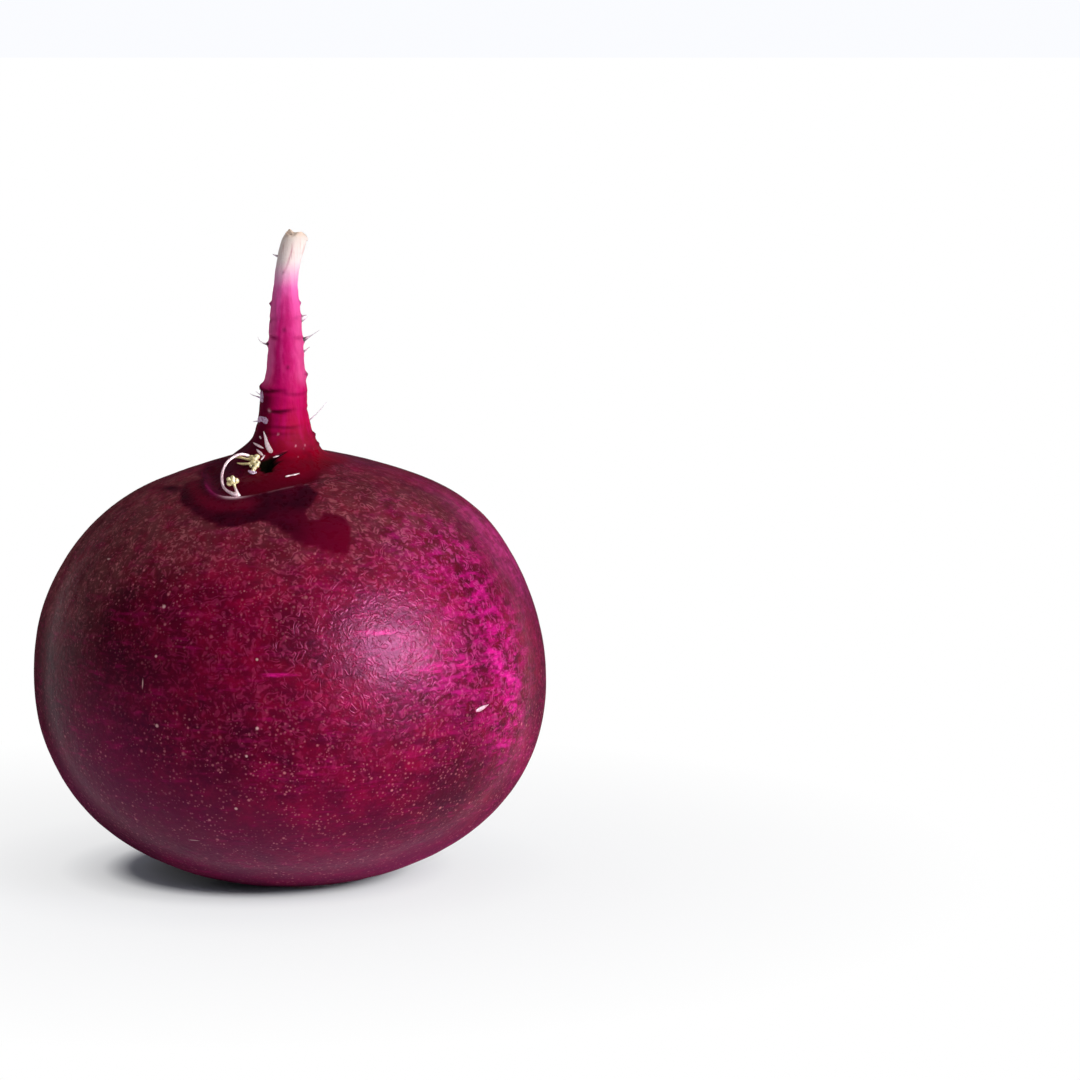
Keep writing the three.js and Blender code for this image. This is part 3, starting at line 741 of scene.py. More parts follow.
# %% Store the masks of the tap root
VEINS = [  # height, and for each of two dark veins of the tap root its place across and its half width
    (79.5, -0.9, 0.3, 0.3, 0.2), (81.5, -1.0, 0.4, 0.4, 0.3), (83.3, -0.9, 0.3, 0.7, 0.5),
    (85.5, -1.1, 0.25, 0.4, 0.3), (87, -1.0, 0.2, 0.1, 0.4), (88.6, -0.8, 0.2, 0.2, 0.25),
    (90.2, -0.6, 0.15, 0.3, 0.4), (92, -0.4, 0.15, 0.4, 0.25), (94, -0.3, 0.25, 0.3, 0.2),
    (95.8, -0.2, 0.2, 0.3, 0.25), (97.0, -0.1, 0.1, 0.2, 0.1), (98.0, 0, 0.01, 0.1, 0.01),
]  # fmt: skip
SLITS = [  # place across, height, lean, reach and half width of each slit below the tip
    (1.0, 101.2, 0.25, 1.1, 0.13), (0.5, 99.6, 0.3, 1.2, 0.14), (-0.1, 98.2, 0.3, 0.5, 0.2),
]  # fmt: skip

from_middle = points[:, :2] - track(TAP_ROOT_LINE, height)
root_azimuth = np.arctan2(from_middle[:, 1], from_middle[:, 0])
# painted shade: the wrinkles are painted dark as deep as they cut in
wrinkle = np.clip(wrinkle_depth(height, root_azimuth) * 3.5, 0, 1) * on_tap_root
# painted shade: the back left of the tap root below its lowest wrinkles is painted dark
on_back_left = 1 - smooth(np.abs(turn(-170, np.degrees(root_azimuth) + 12 * wobble)), 30, 85)
maroon = (1 - smooth(height + 0.3 * wobble, 78.4, 79.4)) * on_back_left
root_share = np.abs(from_middle[:, 0]) / track(TAP_ROOT_RADII, height)[:, 0]
# painted sheen: the tap root's sides are painted paler, most on the left, the side away from the key lamp
flank = smooth(root_share + 0.1 * fine_wobble, 0.4, 0.9) * smooth(height, 79.5, 81.5)
flank *= (1 - smooth(height, 92, 98)) * np.where(from_middle[:, 0] < 0, 1.0, 0.5)
front = smooth(-from_middle[:, 1], 0.2, 0.6) * on_tap_root
slit = front * sum(
    bump(np.abs(x - at - lean * (height - z)) + 0.08 * fine_wobble, wide) * bump(height - z, reach)
    for at, z, lean, reach, wide in SLITS
)
rows = track(VEINS, height)
vein = front * (1 - smooth(height, 91.5, 97.5)) * sum(
    bump(np.abs(from_middle[:, 0] - rows[:, i]) + 0.12 * fine_wobble, 1.7 * np.maximum(rows[:, i + 1], 0.02))
    for i in (0, 2)
)  # fmt: skip
keep(wrinkle=wrinkle, maroon=maroon, flank=flank, slit=slit, vein=vein)

# %% [markdown]
# ## Areas of colour on the globe
# The colour drifts over the globe: magenta down its right side and in places behind, a dusty bloom round
# the shoulder that is partly a painted sheen, painted shade on the flanks and the underside, mauve near
# the floor, and small rosy and crimson areas. Worm-like crackle is clearest at the front, where its pale
# crests are partly a painted glint of the highlight, and pores crowd the lower half. Such an area could
# be painted by hand, but a handful of soft ovals, each given by its direction and height, is quick to
# read and to move.

# %% Store the areas as sums of soft ovals
ZONES = {  # area: direction, width, height, tallness and strength of each oval
    "magenta": [
        (-31, 6.5, 36, 11, 1), (-33.5, 6, 56, 3.5, 0.6), (-37, 4, 48.5, 4, 0.55), (-45, 24, 42, 14, 0.3),
        (-27, 6, 26, 5, 0.42), (-43, 13, 56, 6, 0.62), (-50, 8, 38, 5, 0.3), (60, 24, 30, 14, 0.5),
        (120, 16, 44, 12, 0.7), (172, 16, 22, 12, 0.4),
    ],
    # a dusty film on the skin, and partly a painted sheen on the upper left
    "bloom": [
        (-142, 38, 58, 13, 1), (-152, 26, 50, 10, 0.3), (170, 50, 56, 14, 0.8), (60, 60, 62, 10, 0.6),
        (-48, 36, 62, 6, 0.9), (-85, 40, 58, 7, 0.25), (-140, 40, 13, 7, 0.4), (-127, 13, 48, 9, -0.75),
        (-107, 13, 51, 8, -0.45), (-75, 12, 52, 6, -0.2),
    ],
    # painted shade: dark paint on the left side, away from the key lamp, along the right rim and low down
    "dusk": [
        (-165, 40, 34, 26, 1), (-125, 22, 36, 14, 0.6), (-106, 34, 20, 14, 0.35), (-55, 22, 14, 8, 0.5),
        (-6, 13, 34, 18, 0.95), (-44, 13, 23, 9, 0.95), (-95, 16, 30, 12, 0.22), (110, 50, 20, 20, 0.5),
        (-135, 16, 26, 9, -0.5),
    ],
    "mauve": [
        (-135, 18, 27, 9, 0.5), (-150, 60, 13, 10, 1), (-60, 70, 5, 7, 0.8), (60, 80, 10, 10, 0.8),
    ],
    "rosy": [(-9, 11, 55, 8, 1), (-18, 7, 22, 5, 0.3)],
    "crimson": [(-107, 13, 52, 9, 0.8), (-76, 12, 53, 7, 1), (-69, 14, 22, 7, 1)],
    # wormy is strongest at -66 degrees, where the highlight falls, so the pale crests there are partly a
    # painted glint
    "wormy": [(120, 60, 40, 20, 0.6), (-125, 36, 57, 10, 0.5)],
    "dotted": [(-145, 34, 54, 12, 1), (-95, 40, 54, 9, 0.6)],
    # painted shade: the underside near the floor, most at the back left, is painted almost black
    "under": [(180, 50, 7, 9, 0.9)],
}  # fmt: skip
CROWDED_EVERYWHERE = 0.12

degrees = np.degrees(np.arctan2(y, x))


def area(name):
    """Adds up the ovals of an area. One with a negative strength takes away from the others."""
    return sum(
        strength * bump(turn(azimuth, degrees), width) * bump(height - at, tall)
        for azimuth, width, at, tall, strength in ZONES[name]
    )


keep(**{name: area(name) for name in ("magenta", "dusk", "mauve", "rosy", "crimson")})
keep(
    bloom=np.clip(area("bloom"), 0, 1) * (1 - collar) * (1 - patch),
    wormy=smooth(height, 14, 36) * (0.12 + 0.88 * bump(turn(-66, degrees), 52)) + area("wormy"),
    dotted=1 - smooth(height, 24, 40) + area("dotted") + CROWDED_EVERYWHERE,
    # painted shade of the underside, darkest at the floor
    under=1 - smooth(height, 0.6, 4.5) + area("under"),
)

# %% [markdown]
# ## Effects that several finishes share
# Each of these is a node group: a small graph that is built once, has named sockets and can be placed
# in any material with its own values. All of them take the place on the surface in millimetres.

# %% Helpers that start a node group
def group(name, output, **inputs):
    """A new node group with one output. Inputs are its sockets beside the place, and their usual values."""
    tree = bpy.data.node_groups.new(name, "ShaderNodeTree")
    tree.interface.new_socket(name="Place", in_out="INPUT", socket_type="NodeSocketVector")
    for label, value in inputs.items():
        kind = "NodeSocketVector" if isinstance(value, tuple) else "NodeSocketFloat"
        tree.interface.new_socket(name=label, in_out="INPUT", socket_type=kind).default_value = value
    tree.interface.new_socket(name=output, in_out="OUTPUT", socket_type="NodeSocketFloat")
    return tree, tree.nodes.new("NodeGroupInput").outputs, tree.nodes.new("NodeGroupOutput")


def scaled(tree, vector, scale):
    """A vector multiplied by another, side by side."""
    return node(tree, "ShaderNodeVectorMath", {0: vector, 1: scale}, operation="MULTIPLY").outputs[0]


def noise_texture(tree, place, scale, detail, roughness=0.5, distortion=0.0):
    """A smooth noise that stays near one half."""
    look = {"Detail": detail, "Roughness": roughness, "Distortion": distortion}
    return node(tree, "ShaderNodeTexNoise", {"Vector": place, "Scale": scale, **look}).outputs[0]


# %% Build the clouding and the streaks
# Clouding: soft uneven areas, as pigment settles unevenly in a growing skin.
clouding, given, result = group("clouding", "Mask", Size=6.0, Contrast=0.15)
cloud = noise_texture(clouding, given["Place"], maths(clouding, "DIVIDE", 1.0, given["Size"]), 4.0, 0.6)
low = maths(clouding, "SUBTRACT", 0.5, given["Contrast"])
high = maths(clouding, "ADD", 0.5, given["Contrast"])
clouding.links.new(remap(clouding, cloud, low, high), result.inputs["Mask"])

# Streaks: bands that run one way, because the noise is stretched by the given sizes.
streaks, given, result = group("streaks", "Mask", Stretch=(0.1, 0.1, 1.0), Low=0.5, High=0.65)
streak = noise_texture(streaks, scaled(streaks, given["Place"], given["Stretch"]), 1.0, 4.0, 0.62)
streaks.links.new(remap(streaks, streak, given["Low"], given["High"]), result.inputs["Mask"])
print("effects:", clouding.name, streaks.name)

# %% Build the crackle
# Worm-like ridges, which are contour lines of a smooth noise. A second noise breaks them up.
crackle, given, result = group("crackle", "Lines", Spacing=1.0)
hill_scale = maths(crackle, "DIVIDE", 0.62, given["Spacing"])
hills = noise_texture(crackle, given["Place"], hill_scale, 1.0, roughness=0.4, distortion=0.7)
waves = maths(crackle, "PINGPONG", maths(crackle, "MULTIPLY", hills, 8.0), 1.0)
gaps = noise_texture(crackle, given["Place"], maths(crackle, "DIVIDE", 0.9, given["Spacing"]), 1.0)
broken = maths(crackle, "MULTIPLY", remap(crackle, waves, 0.3, 1.0), remap(crackle, gaps, 0.38, 0.58))
crackle.links.new(broken, result.inputs["Lines"])
print("effect:", crackle.name)

# %% Build the specks, the spot and the grain
# Specks: round dots of several sizes, one in some of the cells of a Voronoi pattern.
specks, given, result = group("specks", "Mask", Spacing=2.0, Share=0.4, Radius=0.16)
cell_scale = maths(specks, "DIVIDE", 1.0, given["Spacing"])
cell_sockets = {"Vector": given["Place"], "Scale": cell_scale, "Randomness": 1.0}
cells = node(specks, "ShaderNodeTexVoronoi", cell_sockets).outputs
chance = node(specks, "ShaderNodeSeparateColor", {0: cells["Color"]}).outputs
distance = maths(specks, "MULTIPLY", cells["Distance"], given["Spacing"])
size = maths(specks, "MULTIPLY", given["Radius"], maths(specks, "ADD", chance[1], 0.45))
dot = inverse(specks, remap(specks, maths(specks, "DIVIDE", distance, size), 0.3, 1.2))
kept = maths(specks, "LESS_THAN", chance[0], given["Share"])
specks.links.new(maths(specks, "MULTIPLY", dot, kept), result.inputs["Mask"])

# Spot: one soft oval at a chosen place. Squash makes it narrow along the axes where it is large.
spot, given, result = group("spot", "Mask", Middle=(0, 0, 0), Squash=(1, 1, 1), Radius=0.3)
apart = {0: given["Place"], 1: given["Middle"]}
away = node(spot, "ShaderNodeVectorMath", apart, operation="SUBTRACT").outputs[0]
away = scaled(spot, away, given["Squash"])
far = node(spot, "ShaderNodeVectorMath", {0: away}, operation="LENGTH").outputs["Value"]
oval = inverse(spot, remap(spot, maths(spot, "DIVIDE", far, given["Radius"]), 0.3, 1.15))
spot.links.new(oval, result.inputs["Mask"])

# Grain: very fine roughness for the bump.
grain, given, result = group("grain", "Height", Size=0.4)
fine = noise_texture(grain, given["Place"], maths(grain, "DIVIDE", 1.0, given["Size"]), 3.0)
grain.links.new(fine, result.inputs["Height"])
print("effects:", specks.name, spot.name, grain.name)


# %% Helpers that place an effect
def effect(tree, shared, **inputs):
    """Places a shared effect in a material and returns its output."""
    return node(tree, "ShaderNodeGroup", inputs, node_tree=shared).outputs[0]


def millimetres(tree):
    """The place on the surface in millimetres. Every piece sits at the origin, so they share one space."""
    place = node(tree, "ShaderNodeTexCoord").outputs["Object"]
    return scaled(tree, place, (1000, 1000, 1000))


# %% [markdown]
# ## The skin
# Radish skin is one cell layer of colour over white flesh: crimson and plum clouds, thin bands of
# magenta that run round the globe, worm-like crackle whose pale crest is partly a painted glint, and
# cream pores. Some of the paint is painted light: shade on the flanks, underneath, in the creases, cracks
# and pit, a sheen on the bloom and on the sides of the tap root, and a glint on the lip. The tap root
# fades from red through pink to cream. The finish is satin, and glossier in the collar. A picture
# wrapped round the globe would stretch at its ends, so the colour is built as a painter lays glazes:
# each layer is a mask, a strength and a paint.

# %% Paint the globe's colours
skin_material, tree = new_material("radish skin")
place = millimetres(tree)
up = height_of(tree, place)


def times(*masks):
    """Masks multiplied together. A name stands for a mask that the mesh stores."""
    read = [attribute(tree, mask) if isinstance(mask, str) else mask for mask in masks]
    total = read[0]
    for mask in read[1:]:
        total = maths(tree, "MULTIPLY", total, mask)
    return total


def glazed(colour, *layers):
    """Lays paints over a colour one after another. A layer is a mask, a strength and a paint."""
    for mask, strength, paint in layers:
        colour = mixed(tree, times(mask, strength), colour, paint)
    return colour


def cloudy(size, contrast):
    """Clouding in patches of about that many millimetres."""
    return effect(tree, clouding, Place=place, Size=size, Contrast=contrast)


def streaky(across, upwards, low, high):
    """Streaks that are finer the larger a number is, level across the skin and upwards."""
    return effect(tree, streaks, Place=place, Stretch=(across, across, upwards), Low=low, High=high)


mid_clouds = cloudy(3.6, 0.13)
fine_clouds = cloudy(1.2, 0.15)
colour = glazed(
    mixed(tree, cloudy(11.0, 0.13), rgb(86, 1, 21), rgb(134, 3, 43)),
    (mid_clouds, 0.45, rgb(78, 1, 34)),
    (fine_clouds, 0.45, rgb(66, 1, 24)),
    (streaky(0.2, 0.5, 0.52, 0.66), 0.55, rgb(58, 1, 26)),
    # painted shade on the sides of the globe
    ("dusk", 0.66, rgb(36, 2, 17)),
    ("mauve", 0.6, rgb(120, 34, 80)),
    (times("crimson", maths(tree, "SUBTRACT", 1.2, mid_clouds)), 0.2, rgb(190, 6, 74)),
)
print("nodes in the skin:", len(tree.nodes))

# %% Paint the magenta bands
bands_fine = streaky(0.3, 1.3, 0.46, 0.68)
crossed_bands = times(bands_fine, streaky(0.09, 0.55, 0.42, 0.66))
uneven = maths(tree, "ADD", times(cloudy(2.2, 0.18), 0.6), times(bands_fine, 0.4))
flecks = streaky(0.24, 0.7, 0.5, 0.68)
colour = glazed(
    colour,
    (crossed_bands, 0.35, rgb(176, 8, 92)),
    (times("magenta", remap(tree, uneven, 0.15, 0.8)), 0.75, rgb(190, 6, 112)),
    (times(flecks, "magenta"), 0.64, rgb(236, 26, 156)),
    (times("rosy", maths(tree, "ADD", uneven, 0.25)), 0.72, rgb(208, 56, 138)),
)
BANDS = [  # middle, half length, half height of the brightest single bands
    ((0.5, -40.6, 39.6), 3.3, 0.4), ((15.5, -35.8, 45.4), 4.2, 0.7), ((26.5, -30.5, 39.2), 8.0, 0.8),
    ((28.5, -17, 54), 3.0, 1.2),
]  # fmt: skip
broken_up = maths(tree, "ADD", bands_fine, 0.3)
for middle, half_length, half_height in BANDS:
    squash = (1 / half_length, 1 / half_length, 1 / half_height)
    band = effect(tree, spot, Place=place, Middle=middle, Squash=squash, Radius=1.0)
    colour = glazed(colour, (times(band, broken_up), 0.6, rgb(226, 20, 134)))
print("bright bands:", len(BANDS))

# %% Paint the dusty bloom with its painted sheen, and the crackle with its painted glint
dust = cloudy(3.0, 0.2)
smooth_skin = maths(tree, "MAXIMUM", attribute(tree, "collar"), attribute(tree, "patch"))
on_root = remap(tree, up, 69.5, 74.5)
rough_skin = inverse(tree, maths(tree, "MAXIMUM", smooth_skin, on_root))
worms = times(effect(tree, crackle, Place=place, Spacing=0.95), rough_skin, "wormy")
colour = glazed(
    colour,
    # a dusty film that is partly a painted sheen
    (times("bloom", maths(tree, "ADD", dust, 0.25)), 0.52, rgb(114, 62, 64)),
    # pale crests of the worms: partly their own colour, partly a painted glint
    (worms, 0.22, rgb(220, 66, 120)),
    (times(worms, "bloom", dust), 0.42, rgb(200, 132, 124)),
    (times(worms, "magenta"), 0.3, rgb(244, 84, 190)),
)
print("nodes in the skin:", len(tree.nodes))


# %% Paint the pores, the blemishes and the painted shade of the underside
def dotty(spacing, share, radius):
    """Round dots: how far apart, how many of the places hold one, and how large."""
    return effect(tree, specks, Place=place, Spacing=spacing, Share=share, Radius=radius)


pores = maths(tree, "MAXIMUM", dotty(0.95, 0.9, 0.19), dotty(0.62, 0.7, 0.16))
pores = maths(tree, "MAXIMUM", times(pores, 0.6), dotty(1.8, 0.7, 0.25))
crowded = maths(tree, "ADD", times(cloudy(7.0, 0.16), 0.6), 0.4)
pores = times(pores, times(crowded, "dotted"), rough_skin)
colour = glazed(colour, (pores, 0.66, rgb(220, 124, 136)))
BLEMISH_RADIUS = 0.36
BLEMISHES = [  # middle, squash
    ((-17.4, -33.2, 49.0), (1, 1, 1)), ((-18.5, -35.6, 41.7), (1.4, 1.4, 1.4)),
    ((-2.8, -39.9, 41.9), (1.4, 1.4, 1.4)), ((-18.4, -36.6, 31.1), (1.1, 1.1, 1.1)),
    ((-2.8, -40.9, 31.5), (1.2, 1.2, 1.2)), ((-4.5, -40.3, 27.1), (1.4, 1.4, 1.4)),
    ((-6.4, -37.2, 18.3), (1.2, 1.2, 1.2)), ((-20.6, -35.2, 37.2), (2.6, 2.6, 0.3)),
    ((-13.4, -30.4, 12.0), (0.32, 0.32, 4.0)), ((-27, -20.5, 54.5), (0.7, 0.7, 2)),
]  # fmt: skip
for middle, squash in BLEMISHES:
    blemish = effect(tree, spot, Place=place, Middle=middle, Squash=squash, Radius=BLEMISH_RADIUS)
    colour = glazed(colour, (blemish, 0.62, rgb(238, 186, 184)))
# painted shade on the underside
colour = glazed(colour, ("under", 0.8, rgb(36, 3, 19)))
print("blemishes:", len(BLEMISHES))

# %% Paint the collar and the dark patch
patch_colour = mixed(tree, attribute(tree, "flap"), rgb(42, 1, 18), rgb(102, 1, 31))
patch_colour = glazed(
    patch_colour, (cloudy(4.5, 0.1), 0.4, rgb(90, 2, 34)), ("blush", 0.7, rgb(112, 1, 36))
)
colour = glazed(colour, ("patch", 0.92, patch_colour))
collar_colour = mixed(tree, attribute(tree, "near_neck"), rgb(84, 1, 22), rgb(142, 1, 34))
collar_colour = mixed(tree, attribute(tree, "plum"), collar_colour, rgb(66, 1, 32))
collar_colour = glazed(collar_colour, (cloudy(2.4, 0.16), 0.5, rgb(88, 1, 20)))
colour = mixed(tree, attribute(tree, "collar"), colour, collar_colour)
print("nodes in the skin:", len(tree.nodes))

# %% Paint the tap root
ROOT_STOPS = [  # share of the way from the collar to the tip, and the paint there
    (0.02, rgb(142, 1, 32)), (0.126, rgb(166, 1, 54)), (0.22, rgb(172, 1, 70)), (0.31, rgb(180, 4, 84)),
    (0.4, rgb(188, 14, 98)), (0.54, rgb(198, 34, 118)), (0.66, rgb(218, 70, 152)), (0.73, rgb(232, 112, 180)),
    (0.79, rgb(236, 172, 202)), (0.85, rgb(238, 218, 214)), (1.0, rgb(236, 220, 206)),
]  # fmt: skip
way_up = node(tree, "ShaderNodeMapRange", {0: up, 1: 70.0, 2: 105.0}).outputs[0]
pink_part = inverse(tree, remap(tree, up, 93.0, 99.5))
root_streaks = times(streaky(0.75, 0.16, 0.42, 0.68), pink_part)
thin_streaks = streaky(2.2, 0.14, 0.5, 0.72)
long_clouds = effect(tree, clouding, Place=scaled(tree, place, (1, 1, 0.35)), Size=1.1, Contrast=0.15)
root_colours = glazed(
    ramp(tree, way_up, ROOT_STOPS),
    (root_streaks, 0.5, rgb(196, 6, 98)),
    (times(long_clouds, pink_part, remap(tree, up, 77.0, 84.0)), 0.3, rgb(236, 84, 164)),
)
root_colours = mixed(tree, times(thin_streaks, 0.25), root_colours, rgb(200, 120, 140), "MULTIPLY")
root_colours = glazed(
    root_colours,
    (times(thin_streaks, remap(tree, up, 97.5, 100.0)), 0.3, rgb(196, 160, 132)),
    # painted sheen on the sides of the tap root
    ("flank", 0.6, rgb(236, 112, 168)),
    ("vein", 0.75, rgb(178, 1, 88)),
    # painted shade on the back left of the tap root
    ("maroon", 0.85, rgb(78, 1, 30)),
    ("slit", 0.4, rgb(190, 70, 110)),
    ("tip", 0.5, rgb(244, 208, 176)),
    (times(dotty(0.8, 0.6, 0.26), "tip"), 0.7, rgb(120, 76, 62)),
)
colour = mixed(tree, on_root, colour, root_colours)
print("nodes in the skin:", len(tree.nodes))

# %% Paint the wrinkles, the lip, the pit and the crown, with painted shade in the wrinkles, cracks and pit
# painted shade in the wrinkles
wrinkle_colour = mixed(tree, remap(tree, up, 79.8, 83.0), rgb(70, 1, 26), rgb(150, 1, 74))
colour = glazed(
    colour,
    ("wrinkle", 0.85, wrinkle_colour),
    # rose and lip lines: partly a painted glint on the lip's crest
    ("rose", 0.6, rgb(196, 30, 120)),
    ("lip", 1.0, rgb(244, 206, 216)),
    ("scuff", 0.75, rgb(238, 170, 190)),
    ("nub", 0.8, rgb(86, 8, 44)),
    # painted shade in the cracks
    ("crack", 0.95, rgb(24, 4, 10)),
    # the pit's dark tissue and painted shade
    ("pit", 1.0, rgb(14, 12, 6)),
    ("crown", 0.9, rgb(120, 78, 62)),
)
print("nodes in the skin:", len(tree.nodes))

# %% [markdown]
# ## Gloss and fine relief of the skin
# The skin shines softly, more in the collar and hardly at all on the tap root. At its rim the globe is
# seen at a glancing angle, where it would mirror the white floor as a pale haze, so the roughness rises
# there. The underside and the pit lose their gloss, because neither sees much light. Crackle, grain,
# pores, fine clouds and the tap root's streaks go into a bump, so that the highlight breaks up.

# %% Give the skin its gloss and fine relief
glancing = node(tree, "ShaderNodeLayerWeight", {"Blend": 0.5}).outputs["Facing"]
roughness = remap(tree, smooth_skin, 0.0, 1.0, 0.34, 0.26)
roughness = maths(tree, "MAXIMUM", roughness, remap(tree, up, 68.5, 72.0, 0.0, 0.65))
roughness = maths(tree, "MAXIMUM", roughness, times("pit", 0.9))
roughness = maths(tree, "ADD", roughness, times(fine_clouds, 0.06))
roughness = maths(tree, "MAXIMUM", roughness, remap(tree, glancing, 0.45, 0.9, 0.0, 0.95))

bump_height = times(worms, 0.05)
fine_grain = effect(tree, grain, Place=place, Size=0.35)
finer_layers = [(fine_grain, 0.03), (pores, 0.02), (fine_clouds, 0.03), (times(root_streaks, on_root), 0.05)]
for layer, depth in finer_layers:
    bump_height = maths(tree, "ADD", bump_height, times(layer, depth))
bumped = node(tree, "ShaderNodeBump", {"Height": bump_height, "Strength": 0.8, "Distance": MM})

hidden = maths(tree, "MAXIMUM", attribute(tree, "under"), attribute(tree, "pit"))
gloss = times(remap(tree, up, 69.0, 74.0, 0.05, 0.025), inverse(tree, hidden))
shader = node(
    tree, "ShaderNodeBsdfPrincipled",
    {"Base Color": colour, "Roughness": roughness, "Normal": bumped.outputs[0],
     "Specular IOR Level": gloss, "Specular Tint": (1.0, 0.3, 0.68, 1.0)},
)  # fmt: skip
finish_shader(tree, shader.outputs[0])
print("nodes in the skin:", len(tree.nodes))

# %% Put the skin on the radish
def finished(name, mesh, material, slot, *stands_for):
    """Turns a mesh in millimetres into a finished piece, in metres and at the origin."""
    mesh.transform(Matrix.Scale(MM, 4))
    mesh.materials.append(material)
    piece = bpy.data.objects.new(name, mesh)
    bpy.context.scene.collection.objects.link(piece)
    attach(piece, "root")
    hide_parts(*stands_for)


finished("radish_skin", root_mesh, skin_material, "root_skin", "radish_root")

# %% [markdown]
# ## Threads, slivers and flakes
# Fine rootlets, torn slivers of skin and dry flakes stick out round the pit and along the tap root. All
# of them are a small ring that is extruded step by step along a smooth route. A round ring gives a
# thread and a flattened ring gives a blade, and its width changes on the way to a fine tip. How far
# along it each ring lies is kept as an attribute, so that a hair can be dark at its root.

# %% Extrude the thin pieces along their routes
STRAND_STEPS = 6
STRAND_SIDES = 12


def add_strand(bm, route, widths, flatness=1.0, facing=(0, -0.8, 0.6)):
    """Follows a route in millimetres. Flatness is the thickness as a share of the width."""
    rows = [(i, *point, width) for i, (point, width) in enumerate(zip(route, widths))]
    path = track(rows, np.linspace(0, len(rows) - 1, STRAND_STEPS * (len(rows) - 1) + 1))
    middles = [Vector(row[:3]) for row in path]
    along = bm.verts.layers.float.get("along") or bm.verts.layers.float.new("along")
    frames = []
    for i, middle in enumerate(middles):
        ahead = (middles[min(i + 1, len(middles) - 1)] - middles[max(i - 1, 0)]).normalized()
        side = Vector(facing).cross(ahead).normalized()
        half = path[i][3] / 2
        turned = Matrix((side, ahead.cross(side), ahead)).transposed().to_4x4()
        frames.append(Matrix.Translation(middle) @ turned @ Matrix.Diagonal((half, half * flatness, 1, 1)))
    ring = bmesh.ops.create_circle(bm, cap_ends=True, segments=STRAND_SIDES, radius=1)["verts"]
    edges = list({e for v in ring for e in v.link_edges})
    bmesh.ops.transform(bm, matrix=frames[0], verts=ring)
    for number, (before, after) in enumerate(zip(frames, frames[1:]), 1):
        pulled = bmesh.ops.extrude_edge_only(bm, edges=edges)["geom"]
        ring = [v for v in pulled if isinstance(v, bmesh.types.BMVert)]
        edges = [e for e in pulled if isinstance(e, bmesh.types.BMEdge)]
        bmesh.ops.transform(bm, matrix=after @ before.inverted(), verts=ring)
        for vertex in ring:
            vertex[along] = number / (len(frames) - 1)
    bmesh.ops.holes_fill(bm, edges=edges)


def as_mesh(bm, name):
    """Turns a bmesh into a smooth-shaded mesh with its faces outwards."""
    bmesh.ops.recalc_face_normals(bm, faces=bm.faces)
    mesh = bpy.data.meshes.new(name)
    bm.to_mesh(mesh)
    bm.free()
    mesh.shade_smooth()
    return mesh


# %% [markdown]
# ## Finishes of the small pieces
# The rootlets are pinkish white, the buds cream with painted olive shade in the seams between their
# lobes, and the dry scraps are lilac grey. Each finish uses the shared clouding and grain, so none of
# them is one flat colour.

# %% Paint the small pieces
def pale_finish(name, light, dark, spots, cloud_size=0.8, roughness=0.5, root=None, hollow=None, foot=None):
    """A pale plant skin. Root paints a strand's start, hollow paints shade in the seams, foot what lies low.
    """
    material, tree = new_material(name)
    place = millimetres(tree)
    colour = mixed(tree, effect(tree, clouding, Place=place, Size=cloud_size, Contrast=0.2), light, dark)
    spotting = effect(tree, streaks, Place=place, Stretch=(2.5, 2.5, 2.5), Low=0.52, High=0.68)
    colour = mixed(tree, spotting, colour, spots)
    if root:
        colour = mixed(tree, remap(tree, attribute(tree, "along"), 0.28, 0.5, 1.0, 0.0), colour, root)
    # painted shade in the seams between a bud's lobes
    if hollow:
        colour = mixed(tree, maths(tree, "MULTIPLY", attribute(tree, "hollow"), 0.6), colour, hollow)
    if foot:
        low, high, foot_colour = foot
        colour = mixed(tree, remap(tree, height_of(tree, place), low, high, 1.0, 0.0), colour, foot_colour)
    relief = {"Height": effect(tree, grain, Place=place, Size=0.25), "Strength": 0.5, "Distance": 0.04 * MM}
    bumped = node(tree, "ShaderNodeBump", relief).outputs[0]
    look = {"Base Color": colour, "Roughness": roughness, "Normal": bumped, "Specular IOR Level": 0.4}
    finish_shader(tree, node(tree, "ShaderNodeBsdfPrincipled", look).outputs[0])
    print("finish:", name)
    return material


rootlet_material = pale_finish("pale rootlet", rgb(250, 224, 228), rgb(240, 196, 208), rgb(222, 150, 174))
hair_material = pale_finish(
    "dark-rooted hair", rgb(216, 200, 208), rgb(190, 160, 176), rgb(150, 110, 130), root=rgb(60, 12, 38)
)
sliver_material = pale_finish("torn sliver", rgb(250, 232, 234), rgb(232, 196, 206), rgb(206, 150, 170), 0.5)
flake_material = pale_finish("dry flake", rgb(226, 196, 222), rgb(186, 130, 172), rgb(150, 66, 112), 0.4, 0.6)
chip_material = pale_finish("skin chip", rgb(214, 170, 186), rgb(196, 130, 158), rgb(176, 96, 136), 0.4)
bud_material = pale_finish(
    "cream bud", rgb(228, 214, 160), rgb(204, 182, 118), rgb(168, 144, 84), 0.35,
    hollow=rgb(128, 100, 52), foot=(65.4, 66.0, rgb(240, 204, 208)),
)  # fmt: skip

